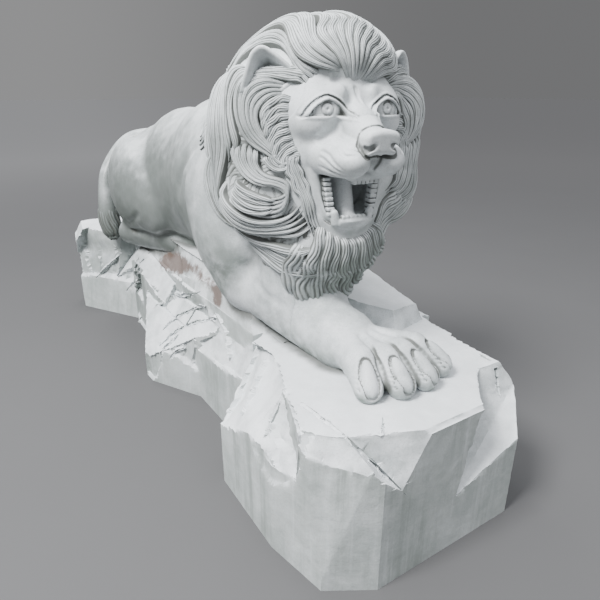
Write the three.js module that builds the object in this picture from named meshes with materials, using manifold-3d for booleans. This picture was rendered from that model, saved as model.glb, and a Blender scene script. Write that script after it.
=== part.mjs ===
// A marble lion lying alert on a rough-hewn rock, carved with it from one block.
// Lengths are in millimetres. The lion faces -Y, its right flank is at -X, and Z is up from the ground.
import * as THREE from 'three';
import { ConvexGeometry } from 'three/addons/geometries/ConvexGeometry.js';
import { mergeVertices } from 'three/addons/utils/BufferGeometryUtils.js';
import Module from 'manifold-3d';

const wasm = await Module();
wasm.setup();

// Driving sizes of the whole work.
const ROCK_TOP = 395;            // level of the rock under the lion's belly
const FACE_HALF_WIDTH = 150;
const MANE_HALF_WIDTH = 318;
const MANE_HALF_HEIGHT = 292;
const SPINE = 40;                // the body's middle plane, along X
const EYE_APART = 76;            // each eye from the middle of the face
const SKIN_BLEND = 55;           // how softly one muscle runs into the next
const SKIN_CELL = 71;            // coarse facets of the skin
const STONE = { color: 0xc3c8ca, roughness: 0.62, metalness: 0 };

// Where the head sits and how it is turned towards the lion's right.
const HEAD = new THREE.Vector3(45, -560, 1000);
const HEAD_TURN = THREE.MathUtils.degToRad(-8);
const HEAD_NOD = THREE.MathUtils.degToRad(3);
const ACROSS = new THREE.Vector3(1, 0, 0);
const AHEAD = new THREE.Vector3(0, -1, 0);
const UPWARD = new THREE.Vector3(0, 0, 1);
const headTurning = new THREE.Quaternion()
  .setFromAxisAngle(UPWARD, HEAD_TURN)
  .multiply(new THREE.Quaternion().setFromAxisAngle(ACROSS, HEAD_NOD));
for (const axis of [ACROSS, AHEAD, UPWARD]) axis.applyQuaternion(headTurning);

// A point given as across, ahead and above the middle of the head.
function onHead(across, ahead, above) {
  return HEAD.clone()
    .addScaledVector(ACROSS, across)
    .addScaledVector(AHEAD, ahead)
    .addScaledVector(UPWARD, above);
}

const at = (x, y, z) => new THREE.Vector3(x, y, z);
const UP = at(0, 0, 1);
const STRAIGHT = new THREE.Quaternion();

// A muscle shaped like an egg: its distance function, negative inside.
function egg(centre, radii, turning = STRAIGHT) {
  const back = turning.clone().invert();
  const [rx, ry, rz] = radii;
  const local = new THREE.Vector3();
  return (p) => {
    local.copy(p).sub(centre).applyQuaternion(back);
    const near = Math.hypot(local.x / rx, local.y / ry, local.z / rz);
    const slope = Math.hypot(local.x / rx ** 2, local.y / ry ** 2, local.z / rz ** 2);
    return slope < 1e-9 ? -Math.min(...radii) : (near * (near - 1)) / slope;
  };
}

const headEgg = (across, ahead, above, radii) => egg(onHead(across, ahead, above), radii, headTurning);

// A limb that thickens or thins from one joint to the next.
function limb(from, fromRadius, to, toRadius) {
  const along = to.clone().sub(from);
  const squared = along.lengthSq();
  const rel = new THREE.Vector3();
  return (p) => {
    rel.copy(p).sub(from);
    const t = THREE.MathUtils.clamp(rel.dot(along) / squared, 0, 1);
    return rel.addScaledVector(along, -t).length() - THREE.MathUtils.lerp(fromRadius, toRadius, t);
  };
}

// Two distances joined with a soft fillet.
function softly(a, b, fillet) {
  const h = Math.max(fillet - Math.abs(a - b), 0) / fillet;
  return Math.min(a, b) - (h * h * fillet) / 4;
}

const bothSides = (make) => [make(-1), make(1)];
const besideSpine = (side, out, y, z) => at(SPINE + side * out, y, z);

const body = [
  egg(at(SPINE + 105, -370, 570), [65, 75, 80]),
  egg(at(SPINE, 0, 775), [205, 420, 300]),
  egg(at(SPINE, 400, 745), [190, 400, 282]),
  egg(at(SPINE - 5, 700, 700), [205, 285, 250]),
  ...bothSides((side) => egg(besideSpine(side, 150, -230, 720), [95, 180, 225])),
  ...bothSides((side) => egg(besideSpine(side, 172, 690, 685), [108, 245, 205])),
  ...bothSides((side) => egg(besideSpine(side, 150, 490, 620), [72, 120, 125])),
  ...bothSides((side) => limb(besideSpine(side, 195, 800, 452), 56, besideSpine(side, 78, 210, 462), 54)),
];

const neck = [
  limb(onHead(8, -130, -30), 228, at(SPINE, -160, 815), 215),
  limb(onHead(0, 10, -190), 150, at(30, -500, 590), 140),
  headEgg(16, -75, -5, [MANE_HALF_WIDTH - 26, 200, MANE_HALF_HEIGHT - 45]),
  headEgg(12, -45, -165, [MANE_HALF_WIDTH - 36, 175, 190]),
  headEgg(0, 30, 140, [120, 112, 68]),
  headEgg(0, 78, -290, [125, 88, 78]),
];

const face = [
  ...bothSides((side) => headEgg(side * (FACE_HALF_WIDTH - 80), 84, 42, [80, 88, 82])),
  headEgg(0, 62, 70, [88, 78, 82]),
  limb(onHead(0, 112, 50), 52, onHead(0, 236, -8), 38),
  ...bothSides((side) => limb(onHead(side * 66, 96, -42), 62, onHead(side * 46, 200, -58), 46)),
];
const jaw = [
  headEgg(0, 92, -214, [78, 92, 36]),
  ...bothSides((side) => limb(onHead(side * 88, 84, -70), 34, onHead(side * 66, 122, -200), 30)),
];
const flews = bothSides((side) => headEgg(side * 45, 196, -76, [52, 76, 42]));
const mouth = headEgg(0, 150, -152, [74, 130, 56]);

// The forelegs: the right one reaches ahead across the rock, the left one is folded under.
const ELBOW = at(-38, -280, 515);
const WRIST = at(18, -712, 448);
const LEFT_ELBOW = at(SPINE + 165, -120, 525);
const LEFT_WRIST = at(265, -300, 455);
const forelegs = [
  limb(at(-85, -270, 700), 112, ELBOW, 106),
  limb(ELBOW, 104, WRIST, 88),
  limb(at(SPINE + 160, -240, 690), 115, LEFT_ELBOW, 100),
  limb(LEFT_ELBOW, 92, LEFT_WRIST, 62),
];

// A paw of four toes that fan out ahead of the wrist.
const TOES = 4;
function toeTips(wrist, ahead, aside, spread) {
  return Array.from({ length: TOES }, (_, i) => {
    const fan = i - (TOES - 1) / 2;
    return at(wrist.x + aside + fan * spread, wrist.y - ahead + 14 * fan * fan, ROCK_TOP + 24);
  });
}
const rightToes = toeTips(WRIST, 258, 34, 70);
const leftToes = toeTips(LEFT_WRIST, 125, 10, 56);
const paw = (wrist, tips, radius) => tips.map((tip) =>
  limb(wrist.clone().lerp(tip, 0.35), radius * 1.25, tip, radius));
const paws = [...paw(WRIST, rightToes, 42), ...paw(LEFT_WRIST, leftToes, 34)];

function join(shapes, fillet, p, start = Infinity) {
  return shapes.reduce((sofar, shape) => softly(sofar, shape(p), fillet), start);
}

// The bulk of the lion that its hair grows on.
function bulk(p) {
  let d = join(body, SKIN_BLEND, p, 1e3);
  d = join(forelegs, 45, p, d);
  d = join(neck, 60, p, d);
  d = join(face, 22, p, d);
  return join(jaw, 16, p, d);
}

// The lion's whole skin, without its hair, teeth and claws.
function skin(p) {
  let d = bulk(p);
  d = join(paws, 12, p, d);
  d = Math.max(d, -mouth(p));
  return join(flews, 14, p, d);
}

// The closed surface where a distance function is zero, as one vertex in each grid cell that it
// passes through and one square for each grid edge that it crosses.
function netSurface(distance, low, high, cell) {
  const count = low.map((v, i) => Math.ceil((high[i] - v) / cell) + 1);
  const [nx, ny, nz] = count;
  const index = (i, j, k) => (k * ny + j) * nx + i;
  const values = new Float64Array(nx * ny * nz);
  const p = new THREE.Vector3();
  const place = (i, j, k) => p.set(low[0] + i * cell, low[1] + j * cell, low[2] + k * cell);
  for (let k = 0; k < nz; k++)
    for (let j = 0; j < ny; j++)
      for (let i = 0; i < nx; i++) values[index(i, j, k)] = distance(place(i, j, k));

  const corners = [0, 1, 2, 3, 4, 5, 6, 7].map((c) => [c & 1, (c >> 1) & 1, (c >> 2) & 1]);
  const edges = corners.flatMap((a, i) =>
    [0, 1, 2].filter((axis) => !a[axis]).map((axis) => [i, i | (1 << axis)]));
  const vertices = [];
  const vertexOf = new Map();
  for (let k = 0; k < nz - 1; k++)
    for (let j = 0; j < ny - 1; j++)
      for (let i = 0; i < nx - 1; i++) {
        const v = corners.map(([a, b, c]) => values[index(i + a, j + b, k + c)]);
        const crossed = edges.filter(([a, b]) => v[a] < 0 !== v[b] < 0);
        if (!crossed.length) continue;
        const sum = [0, 0, 0];
        for (const [a, b] of crossed) {
          const t = v[a] / (v[a] - v[b]);
          for (let axis = 0; axis < 3; axis++) {
            sum[axis] += corners[a][axis] + t * (corners[b][axis] - corners[a][axis]);
          }
        }
        const mean = sum.map((s) => s / crossed.length);
        vertexOf.set(index(i, j, k), vertices.length / 3);
        vertices.push(...[i, j, k].map((v, axis) => low[axis] + (v + mean[axis]) * cell));
      }

  const faces = [];
  const step = [1, nx, nx * ny];
  for (const [cellIndex] of vertexOf) {
    for (let axis = 0; axis < 3; axis++) {
      const [u, v] = [step[(axis + 1) % 3], step[(axis + 2) % 3]];
      const around = [cellIndex, cellIndex - u, cellIndex - u - v, cellIndex - v].map((c) => vertexOf.get(c));
      const [from, to] = [values[cellIndex], values[cellIndex + step[axis]]];
      if (from < 0 === to < 0 || around.includes(undefined)) continue;
      const [a, b, c, d] = from < 0 ? around : around.reverse();
      faces.push(a, b, c, a, c, d);
    }
  }
  return { vertices, faces };
}

// Splits every triangle edge that the test picks at its middle, keeping the surface closed.
function refine({ vertices, faces }, wanted) {
  const middles = new Map();
  const point = (i) => at(vertices[3 * i], vertices[3 * i + 1], vertices[3 * i + 2]);
  const middle = (a, b) => {
    const key = a < b ? `${a},${b}` : `${b},${a}`;
    if (!middles.has(key)) {
      const m = point(a).add(point(b)).multiplyScalar(0.5);
      middles.set(key, wanted(m) ? vertices.push(m.x, m.y, m.z) / 3 - 1 : -1);
    }
    return middles.get(key);
  };
  const made = [];
  for (let t = 0; t < faces.length; t += 3) {
    const corner = faces.slice(t, t + 3);
    const mids = corner.map((a, i) => middle(a, corner[(i + 1) % 3]));
    const split = mids.filter((m) => m >= 0).length;
    if (split === 0) made.push(...corner);
    else if (split === 3) {
      const [a, b, c] = corner;
      const [ab, bc, ca] = mids;
      made.push(a, ab, ca, ab, b, bc, ca, bc, c, ab, bc, ca);
    } else if (split === 1) {
      const i = mids.findIndex((m) => m >= 0);
      const [a, b, c] = [corner[i], corner[(i + 1) % 3], corner[(i + 2) % 3]];
      made.push(a, mids[i], c, mids[i], b, c);
    } else {
      const i = mids.findIndex((m) => m < 0);
      const [a, b, c] = [corner[i], corner[(i + 1) % 3], corner[(i + 2) % 3]];
      const [bc, ca] = [mids[(i + 1) % 3], mids[(i + 2) % 3]];
      made.push(c, ca, bc, ca, a, b, ca, b, bc);
    }
  }
  return { vertices, faces: made };
}

// Evens out the triangles by drawing each vertex part of the way to the middle of its neighbours.
function relax({ vertices, faces }, share) {
  const sums = new Float64Array(vertices.length);
  const counts = new Uint16Array(vertices.length / 3);
  for (let i = 0; i < faces.length; i++) {
    const next = faces[i % 3 === 2 ? i - 2 : i + 1];
    counts[faces[i]] += 1;
    for (let axis = 0; axis < 3; axis++) sums[3 * faces[i] + axis] += vertices[3 * next + axis];
  }
  const evened = vertices.map((v, i) => v + share * (sums[i] / counts[Math.floor(i / 3)] - v));
  return { vertices: evened, faces };
}

function gradient(distance, p, reach = 2) {
  const offset = (x, y, z) => distance(p.clone().add(at(x, y, z)));
  return at(
    offset(reach, 0, 0) - offset(-reach, 0, 0),
    offset(0, reach, 0) - offset(0, -reach, 0),
    offset(0, 0, reach) - offset(0, 0, -reach),
  ).divideScalar(2 * reach);
}

// Moves a point along the slope until it lies on the surface.
function settle(distance, p, steps = 3, furthest = 30) {
  for (let i = 0; i < steps; i++) {
    const slope = gradient(distance, p);
    const move = THREE.MathUtils.clamp(distance(p) / Math.max(slope.lengthSq(), 0.2), -furthest, furthest);
    p.addScaledVector(slope, -move);
  }
  return p;
}

function solidOf(vertices, faces) {
  const mesh = new wasm.Mesh({
    numProp: 3,
    vertProperties: Float32Array.from(vertices),
    triVerts: Uint32Array.from(faces),
  });
  return new wasm.Manifold(mesh);
}

function solidOfGeometry(geometry) {
  geometry.deleteAttribute('normal');
  geometry.deleteAttribute('uv');
  const merged = mergeVertices(geometry, 1e-3);
  return solidOf(merged.attributes.position.array, merged.index.array);
}

const headLocal = (p) => {
  const rel = p.clone().sub(HEAD);
  return at(rel.dot(ACROSS), rel.dot(AHEAD), rel.dot(UPWARD));
};
// The face is faceted more finely than the body.
const inFace = (p) => {
  const q = headLocal(p);
  return Math.hypot(q.x, q.z + 55) < 185 && q.y > 90;
};
const inMuzzle = (p) => {
  const q = headLocal(p);
  return Math.hypot(q.x, q.z + 95) < 118 && q.y > 135;
};

function settleAll({ vertices, faces }) {
  const settled = [];
  for (let i = 0; i < vertices.length; i += 3) {
    settle(skin, at(vertices[i], vertices[i + 1], vertices[i + 2]), 3, 18).toArray(settled, i);
  }
  return { vertices: settled, faces };
}

function makeSkin() {
  let net = settleAll(netSurface(skin, [-460, -1120, 300], [480, 1160, 1330], SKIN_CELL));
  for (const closer of [inFace, inMuzzle]) {
    net = settleAll(relax(settleAll(refine(net, closer)), 0.5));
  }
  return solidOf(net.vertices, net.faces);
}

// The rock: boulders with upright sawn feet that slope in to a tilted top.
function boulder({ outline, foot, top, inset, lean = [0, 0] }) {
  const middle = outline.reduce(([a, b], [x, y]) => [a + x / outline.length, b + y / outline.length], [0, 0]);
  const rise = (x, y) => lean[0] * (x - middle[0]) + lean[1] * (y - middle[1]);
  const points = outline.flatMap(([x, y]) => {
    const [dx, dy] = [middle[0] - x, middle[1] - y];
    const pull = inset / Math.hypot(dx, dy);
    const [ix, iy] = [x + dx * pull, y + dy * pull];
    return [at(x, y, 0), at(x, y, Math.max(foot + rise(x, y), 40)), at(ix, iy, top + rise(ix, iy))];
  });
  return solidOfGeometry(new ConvexGeometry(points));
}

// A flat chisel cut: all that lies outside a plane within a given reach of a point on it.
function chisel(rock, { point, outward, reach }) {
  const cut = new THREE.BoxGeometry(2 * reach, 2 * reach, 2 * reach);
  cut.translate(0, 0, reach);
  cut.applyQuaternion(new THREE.Quaternion().setFromUnitVectors(UP, at(...outward).normalize()));
  cut.translate(...point);
  return rock.subtract(solidOfGeometry(cut));
}

// Each boulder with the flat cuts that slope its sides, and the notches broken out of it.
const BOULDERS = [
  { outline: [[-300, -560], [-300, -850], [-264, -1022], [-150, -1090], [310, -1085], [388, -1000],
    [450, -700], [430, -480], [-40, -420]], foot: 388, top: 397, inset: 12,
    cuts: [
      { point: [-258, -620, 280], outward: [-0.73, 0.26, 0.63], reach: 165 },
      { point: [-262, -1002, 200], outward: [-0.72, -0.69, 0.09], reach: 205 },
      { point: [-232, -985, 386], outward: [-0.6, -0.67, 0.45], reach: 110 },
      { point: [430, -800, 330], outward: [1, -0.15, 0.7], reach: 190 },
    ],
    notches: [
      [[-235, -840, 399], [-205, -740, 405], [-302, -738, 280], [-301, -880, 248], [-278, -938, 276],
        [-280, -953, 400], [-400, -738, 280], [-400, -880, 246], [-370, -938, 276], [-370, -953, 430],
        [-400, -738, 430], [-235, -840, 440], [-205, -740, 440]],
      [[-197, -1003, 399], [-12, -1090, 399], [-86, -1100, 250], [-150, -1160, 276], [-197, -1003, 460],
        [-12, -1090, 460], [-150, -1160, 460], [-10, -1160, 300], [-10, -1160, 460]],
      [[159, -1072, 400], [289, -953, 400], [88, -1086, 165], [300, -1082, 240], [400, -990, 340],
        [150, -1180, 440], [289, -953, 440], [88, -1160, 165], [320, -1180, 240], [480, -1100, 300],
        [480, -950, 440]],
    ] },
  { outline: [[90, -560], [240, -700], [420, -660], [450, -480], [420, -260], [120, -260]],
    foot: 360, top: 480, inset: 60, lean: [-0.1, 0.12] },
  { outline: [[-306, 190], [-302, 130], [-205, -8], [-135, -170], [100, -200], [100, 600], [-140, 640],
    [-235, 330]], foot: 380, top: 395, inset: 20,
    cuts: [
      { point: [-150, 200, 290], outward: [-0.768, 0, 0.64], reach: 480 },
      { point: [-139, -160, 130], outward: [-0.25, -0.87, 0.42], reach: 130 },
    ] },
  { outline: [[-345, 1245], [-372, 1105], [-322, 1080], [-208, 893], [-145, 650], [150, 600], [380, 700],
    [400, 1010], [260, 1230], [-100, 1280]], foot: 345, top: 412, inset: 45, lean: [0, 0.12],
    cuts: [
      { point: [-253, 965, 145], outward: [-0.84, -0.52, 0.14], reach: 270 },
      { point: [-165, 770, 240], outward: [-0.75, -0.1, 0.65], reach: 160 },
    ] },
  { outline: [[-170, -600], [-150, 200], [-195, 430], [-180, 760], [250, 760], [400, 300], [390, -500]],
    foot: 330, top: 398, inset: 40,
    cuts: [
      { point: [-140, -300, 290], outward: [-0.85, 0.05, 0.53], reach: 330 },
      { point: [-165, 440, 325], outward: [-0.8, -0.05, 0.6], reach: 330 },
      { point: [-150, 20, 300], outward: [-0.8, 0, 0.6], reach: 240 },
    ] },
  { outline: [[-125, -430], [-140, 300], [-120, 900], [200, 920], [220, 300], [250, -450]],
    foot: 385, top: 500, inset: 95 },
  { outline: [[380, -330], [450, -120], [440, 160], [330, 330], [100, 200], [100, -300]],
    foot: 250, top: 395, inset: 90, lean: [-0.2, 0],
    cuts: [{ point: [395, 120, 300], outward: [1, 0.15, 0.7], reach: 200 }] },
  { outline: [[300, 280], [420, 420], [400, 760], [300, 860], [100, 700], [100, 300]],
    foot: 270, top: 400, inset: 80, lean: [-0.15, 0],
    cuts: [{ point: [385, 560, 300], outward: [1, 0.1, 0.9], reach: 190 }] },
];
const hewn = (stone) => (stone.notches || []).reduce(
  (sofar, corners) => sofar.subtract(solidOfGeometry(new ConvexGeometry(corners.map((c) => at(...c))))),
  (stone.cuts || []).reduce(chisel, boulder(stone)),
);

// Flat chisel cuts across the back of the rock.
const CHIPS = [
  { point: [380, 980, 320], outward: [1, 0.5, 0.7], reach: 200 },
  { point: [40, 1255, 350], outward: [0.2, 1, 0.6], reach: 220 },
];

// A place on the mane: degrees round the face from its top, and how far out from the face's rim,
// where 1 is the outline seen from the front and 2 the nape.
const RIM_REACH = 150;
const smooth = THREE.MathUtils.smoothstep;
function onMane(round, outward) {
  const angle = THREE.MathUtils.degToRad(round);
  const out = Math.min(outward, 1);
  const reach = RIM_REACH + (MANE_HALF_WIDTH - 10 - RIM_REACH) * Math.sin((out * Math.PI) / 2);
  const beard = 95 * smooth(Math.abs(round), 125, 175);
  const ahead = 70 + beard - 190 * Math.max(outward, 0) ** 1.3;
  const drop = 45 * smooth(Math.abs(round), 60, 180);
  return settle(bulk, onHead(Math.sin(angle) * reach, ahead, Math.cos(angle) * (reach + drop) - 20), 6, 80);
}

// A lock's middle line, swaying to both sides of a straight run over the mane.
const LOCK_STEPS = 5;
function lockLine({ round, outward, turn, run, sway, phase, steps = LOCK_STEPS }) {
  const places = Array.from({ length: steps + 1 }, (_, i) => {
    const t = i / steps;
    const wave = sway * (Math.sin(t * 1.5 * Math.PI + phase) - Math.sin(phase));
    return onMane(round + turn * t + wave, outward + run * t);
  });
  return places.map((p, i) => {
    const along = places[Math.min(i + 1, steps)].clone().sub(places[Math.max(i - 1, 0)]).normalize();
    return { p, along, out: gradient(bulk, p, 8).projectOnPlane(along).normalize() };
  });
}

// A lock of hair: a ridge that swells from its root and runs out to a point.
const FULL_SECTION = [[-1, -0.5], [-0.5, 0.85], [0.4, 1], [1, -0.5]];
const KEEN_SECTION = [[-1, -0.5], [-0.1, 1], [1, -0.5]];
function lock(shape) {
  const { halfWidth, height, section = FULL_SECTION, steps = LOCK_STEPS } = shape;
  const line = lockLine(shape);
  const count = section.length;
  const vertices = [];
  line.slice(0, -1).forEach(({ p, out, along }, i) => {
    const swell = Math.sin(Math.PI * (0.2 + (0.74 * i) / steps)) ** 0.8;
    const lift = Math.sin(Math.PI * (0.06 + (0.88 * i) / steps)) ** 0.6;
    const aside = out.clone().cross(along);
    for (const [across, up] of section) {
      const rise = up > 0 ? up * height * lift : up * height;
      p.clone().addScaledVector(aside, across * halfWidth * swell).addScaledVector(out, rise)
        .toArray(vertices, vertices.length);
    }
  });
  const last = line[steps];
  last.p.clone().addScaledVector(last.out, height * 0.25).toArray(vertices, vertices.length);
  const tip = vertices.length / 3 - 1;
  const faces = section.slice(2).flatMap((_, i) => [0, i + 1, i + 2]);
  for (let ring = 0; ring < steps - 1; ring++)
    for (let i = 0; i < count; i++) {
      const a = ring * count + i;
      const b = ring * count + ((i + 1) % count);
      faces.push(a, a + count, b, b, a + count, b + count);
    }
  for (let i = 0; i < count; i++) {
    faces.push(tip - count + i, tip, tip - count + ((i + 1) % count));
  }
  return solidOf(vertices, faces);
}

// Rows of locks down each side, from the nape to the face's rim.
const ROWS = [
  { locks: 2, from: 22, to: 70, outward: 2.05, turn: 22, run: 0.75, halfWidth: 72, height: 28,
    section: KEEN_SECTION, steps: 3 },
  { locks: 4, from: 14, to: 104, outward: 1.5, turn: 36, run: 0.65, halfWidth: 66, height: 30,
    section: KEEN_SECTION, steps: 3 },
  { locks: 5, from: 16, to: 126, outward: 0.95, turn: 42, run: 0.65, halfWidth: 64, height: 30 },
  { locks: 5, from: 66, to: 150, outward: 0.42, turn: 48, run: 0.6, halfWidth: 48, height: 32 },
  { locks: 4, from: 72, to: 130, outward: -0.02, turn: 34, run: 0.5, halfWidth: 38, height: 26 },
];
function hairRow({ locks, from, to, turn, ...rest }) {
  return bothSides((side) => Array.from({ length: locks }, (_, i) => lock({
    ...rest,
    round: side * THREE.MathUtils.lerp(from, to, i / (locks - 1)),
    turn: side * turn,
    sway: side * 7,
    phase: i % 2 ? 3.3 : 0.3,
  }))).flat();
}

// Locks that lie straight out from the face: the forelock, which rolls back over the crown, and the beard.
function spray(rounds, shape) {
  return rounds.map((round, i) => lock({
    ...shape, round, turn: round * shape.fan, phase: i % 2 ? 0.2 : 3.3,
  }));
}
const forelock = spray([-26, -13, 0, 13, 26],
  { outward: 0.02, fan: 0.1, run: 1.0, sway: 5, halfWidth: 44, height: 34 });
const beard = spray([-30, -10, 10, 30].map((round) => round + 180),
  { outward: 0.3, fan: 0, run: 0.75, sway: 4, halfWidth: 38, height: 26 });

// A band of hair on each side runs out under the ear from the brow and curls down round the cheek.
const bands = bothSides((side) => lock({
  round: side * 48, outward: 0.02, turn: side * 92, run: 0.6, sway: 0, phase: 0, halfWidth: 46, height: 32,
}));

// A smooth pebble, for toes, claws, teeth, eyes and the nose.
function pebble(centre, radii, turning = headTurning, sides = 8, rings = 4) {
  const shape = new THREE.SphereGeometry(1, sides, rings);
  shape.scale(...radii);
  shape.applyQuaternion(turning);
  shape.translate(centre.x, centre.y, centre.z);
  return solidOfGeometry(shape);
}

// The reaching paw's toes, each ending in a smooth almond claw that points down and ahead.
const toes = rightToes.map((tip) => {
  const along = tip.clone().sub(WRIST).setZ(-40).normalize();
  const turning = new THREE.Quaternion().setFromUnitVectors(at(0, -1, 0), along);
  return pebble(tip.clone().addScaledVector(along, -38).add(at(0, 0, 8)), [41, 88, 40], turning, 7, 5);
});
const clawTilt = new THREE.Quaternion().setFromAxisAngle(ACROSS, THREE.MathUtils.degToRad(48));
const claws = rightToes.map((tip) => pebble(tip.clone().add(at(0, -34, 10)), [19, 34, 17], clawTilt, 6, 4));

// Teeth stand in rows along the jaws, the last one a fang, with a tongue between the rows.
const TEETH_IN_ROW = 3;
const TOOTH_SUNK = 9;
const teeth = bothSides((side) => [-1, 1].flatMap((jawSide) =>
  Array.from({ length: TEETH_IN_ROW }, (_, i) => {
    const fang = i === TEETH_IN_ROW - 1;
    const root = settle(skin, onHead(side * (58 - 4 * i), 96 + 34 * i, -154 + jawSide * (fang ? 36 : 44)));
    root.addScaledVector(gradient(skin, root).normalize(), -TOOTH_SUNK);
    return pebble(root, [10, 12, fang ? 26 : 15], headTurning, 4, 3);
  }))).flat();
const tongue = pebble(onHead(0, 120, -198), [36, 78, 16]);
const nosePad = pebble(onHead(0, 250, -16), [50, 34, 26], headTurning, 8, 5);
const eyeSockets = bothSides((side) => pebble(onHead(side * EYE_APART, 176, 47), [47, 34, 27]));
const eyeballs = bothSides((side) =>
  pebble(onHead(side * EYE_APART, 146, 46), [36, 26, 19], headTurning, 7));

// The tail comes round the right haunch and ends in a tuft, as one round rod that thickens at its end.
const TAIL_SIDES = 7;
const TAIL_STEPS = 10;
const tailLine = new THREE.CatmullRomCurve3(
  [at(SPINE, 900, 880), at(-65, 935, 865), at(-150, 935, 800), at(-215, 910, 700), at(-232, 880, 560),
    at(-220, 880, 420)]);
function makeTail() {
  const vertices = [];
  const faces = [];
  for (let i = 0; i <= TAIL_STEPS; i++) {
    const t = i / TAIL_STEPS;
    const p = tailLine.getPoint(t);
    const along = tailLine.getTangent(t);
    const aside = along.clone().cross(at(-1, 1, 0)).normalize();
    const out = along.clone().cross(aside);
    const radius = 50 - 14 * smooth(t, 0, 0.5) + 20 * Math.sin(Math.PI * smooth(t, 0.62, 1));
    for (let k = 0; k < TAIL_SIDES; k++) {
      const turn = (2 * Math.PI * k) / TAIL_SIDES;
      p.clone().addScaledVector(aside, radius * Math.cos(turn)).addScaledVector(out, radius * Math.sin(turn))
        .toArray(vertices, vertices.length);
      const [a, b] = [i * TAIL_SIDES + k, i * TAIL_SIDES + ((k + 1) % TAIL_SIDES)];
      if (i < TAIL_STEPS) faces.push(a, b, a + TAIL_SIDES, a + TAIL_SIDES, b, b + TAIL_SIDES);
    }
  }
  const end = TAIL_STEPS * TAIL_SIDES;
  for (let k = 1; k < TAIL_SIDES - 1; k++) faces.push(0, k + 1, k, end, end + k, end + k + 1);
  return solidOf(vertices, faces);
}
const tail = makeTail();

// Each ear is a pointed shell, hollow in front. Its rim and back are given as places on the head.
const EAR_RIM = [[104, 80, 112], [148, 64, 166], [180, 22, 190], [214, 26, 142], [236, 16, 80]];
const EAR_BACK = [[160, -60, 100], [185, -50, 130], [160, 30, 60]];
const EAR_FACING = at(0.54, 0.8, 0.24);
function ear(side) {
  const rim = EAR_RIM.map((point) => at(...point));
  const middle = rim.reduce((sum, point) => sum.add(point), at(0, 0, 0)).divideScalar(rim.length);
  const inset = (share, ahead) => rim.map((point) =>
    middle.clone().lerp(point, share).addScaledVector(EAR_FACING, ahead));
  const hull = (points) => solidOfGeometry(
    new ConvexGeometry(points.map(({ x, y, z }) => onHead(side * x, y, z))));
  const shell = hull([...rim, ...EAR_BACK.map((point) => at(...point))]);
  return shell.subtract(hull([...inset(0.74, 45), ...inset(0.72, -6), ...inset(0.3, -40)]));
}
const ears = bothSides(ear);

const addAll = (solids, start) => solids.reduce((sofar, next) => sofar.add(next), start);
const lion = eyeSockets.reduce((sofar, socket) => sofar.subtract(socket), makeSkin());
const hair = [...ROWS.flatMap(hairRow), ...forelock, ...bands, ...beard];
const features = [tail, ...ears, ...toes, ...claws, ...teeth, tongue, nosePad, ...eyeballs];
const rock = CHIPS.reduce(chisel, BOULDERS.map(hewn).reduce((sofar, next) => sofar.add(next)));
const whole = addAll([...hair, ...features, rock], lion);

// The faces of the outer skin. A hollow sealed between two locks has faces of its own; it is filled.
function outerFaces({ vertProperties, triVerts }) {
  const parent = Array.from({ length: vertProperties.length / 3 }, (_, i) => i);
  const rootOf = (i) => {
    while (parent[i] !== i) {
      parent[i] = parent[parent[i]];
      i = parent[i];
    }
    return i;
  };
  for (let t = 0; t < triVerts.length; t += 3) {
    parent[rootOf(triVerts[t + 1])] = rootOf(triVerts[t]);
    parent[rootOf(triVerts[t + 2])] = rootOf(triVerts[t]);
  }
  const volumes = new Map();
  const corner = (i) => new THREE.Vector3().fromArray(vertProperties, 3 * i);
  for (let t = 0; t < triVerts.length; t += 3) {
    const root = rootOf(triVerts[t]);
    const volume = corner(triVerts[t]).dot(corner(triVerts[t + 1]).cross(corner(triVerts[t + 2]))) / 6;
    volumes.set(root, (volumes.get(root) || 0) + volume);
  }
  return triVerts.filter((_, i) => volumes.get(rootOf(triVerts[i - (i % 3)])) > 0);
}

// The work as one mesh that stands on the ground with the middle of its footprint at the origin.
function meshOf(solid, name) {
  const faces = solid.getMesh();
  const geometry = new THREE.BufferGeometry();
  geometry.setAttribute('position', new THREE.BufferAttribute(faces.vertProperties, 3));
  geometry.setIndex(new THREE.BufferAttribute(outerFaces(faces), 1));
  geometry.computeBoundingBox();
  const middle = geometry.boundingBox.getCenter(at(0, 0, 0));
  geometry.translate(-middle.x, -middle.y, -geometry.boundingBox.min.z);
  geometry.computeVertexNormals();
  const mesh = new THREE.Mesh(geometry, new THREE.MeshStandardMaterial(STONE));
  mesh.name = name;
  return mesh;
}

const statue = new THREE.Group();
statue.add(meshOf(whole, 'marble_lion'));
export default statue;
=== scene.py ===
"""Dresses the carved marble lion: its coat, face, mane, paws and rock, their stone, the floor and light."""

import math

import bpy
import numpy as np
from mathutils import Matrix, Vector
from mathutils.bvhtree import BVHTree


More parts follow.
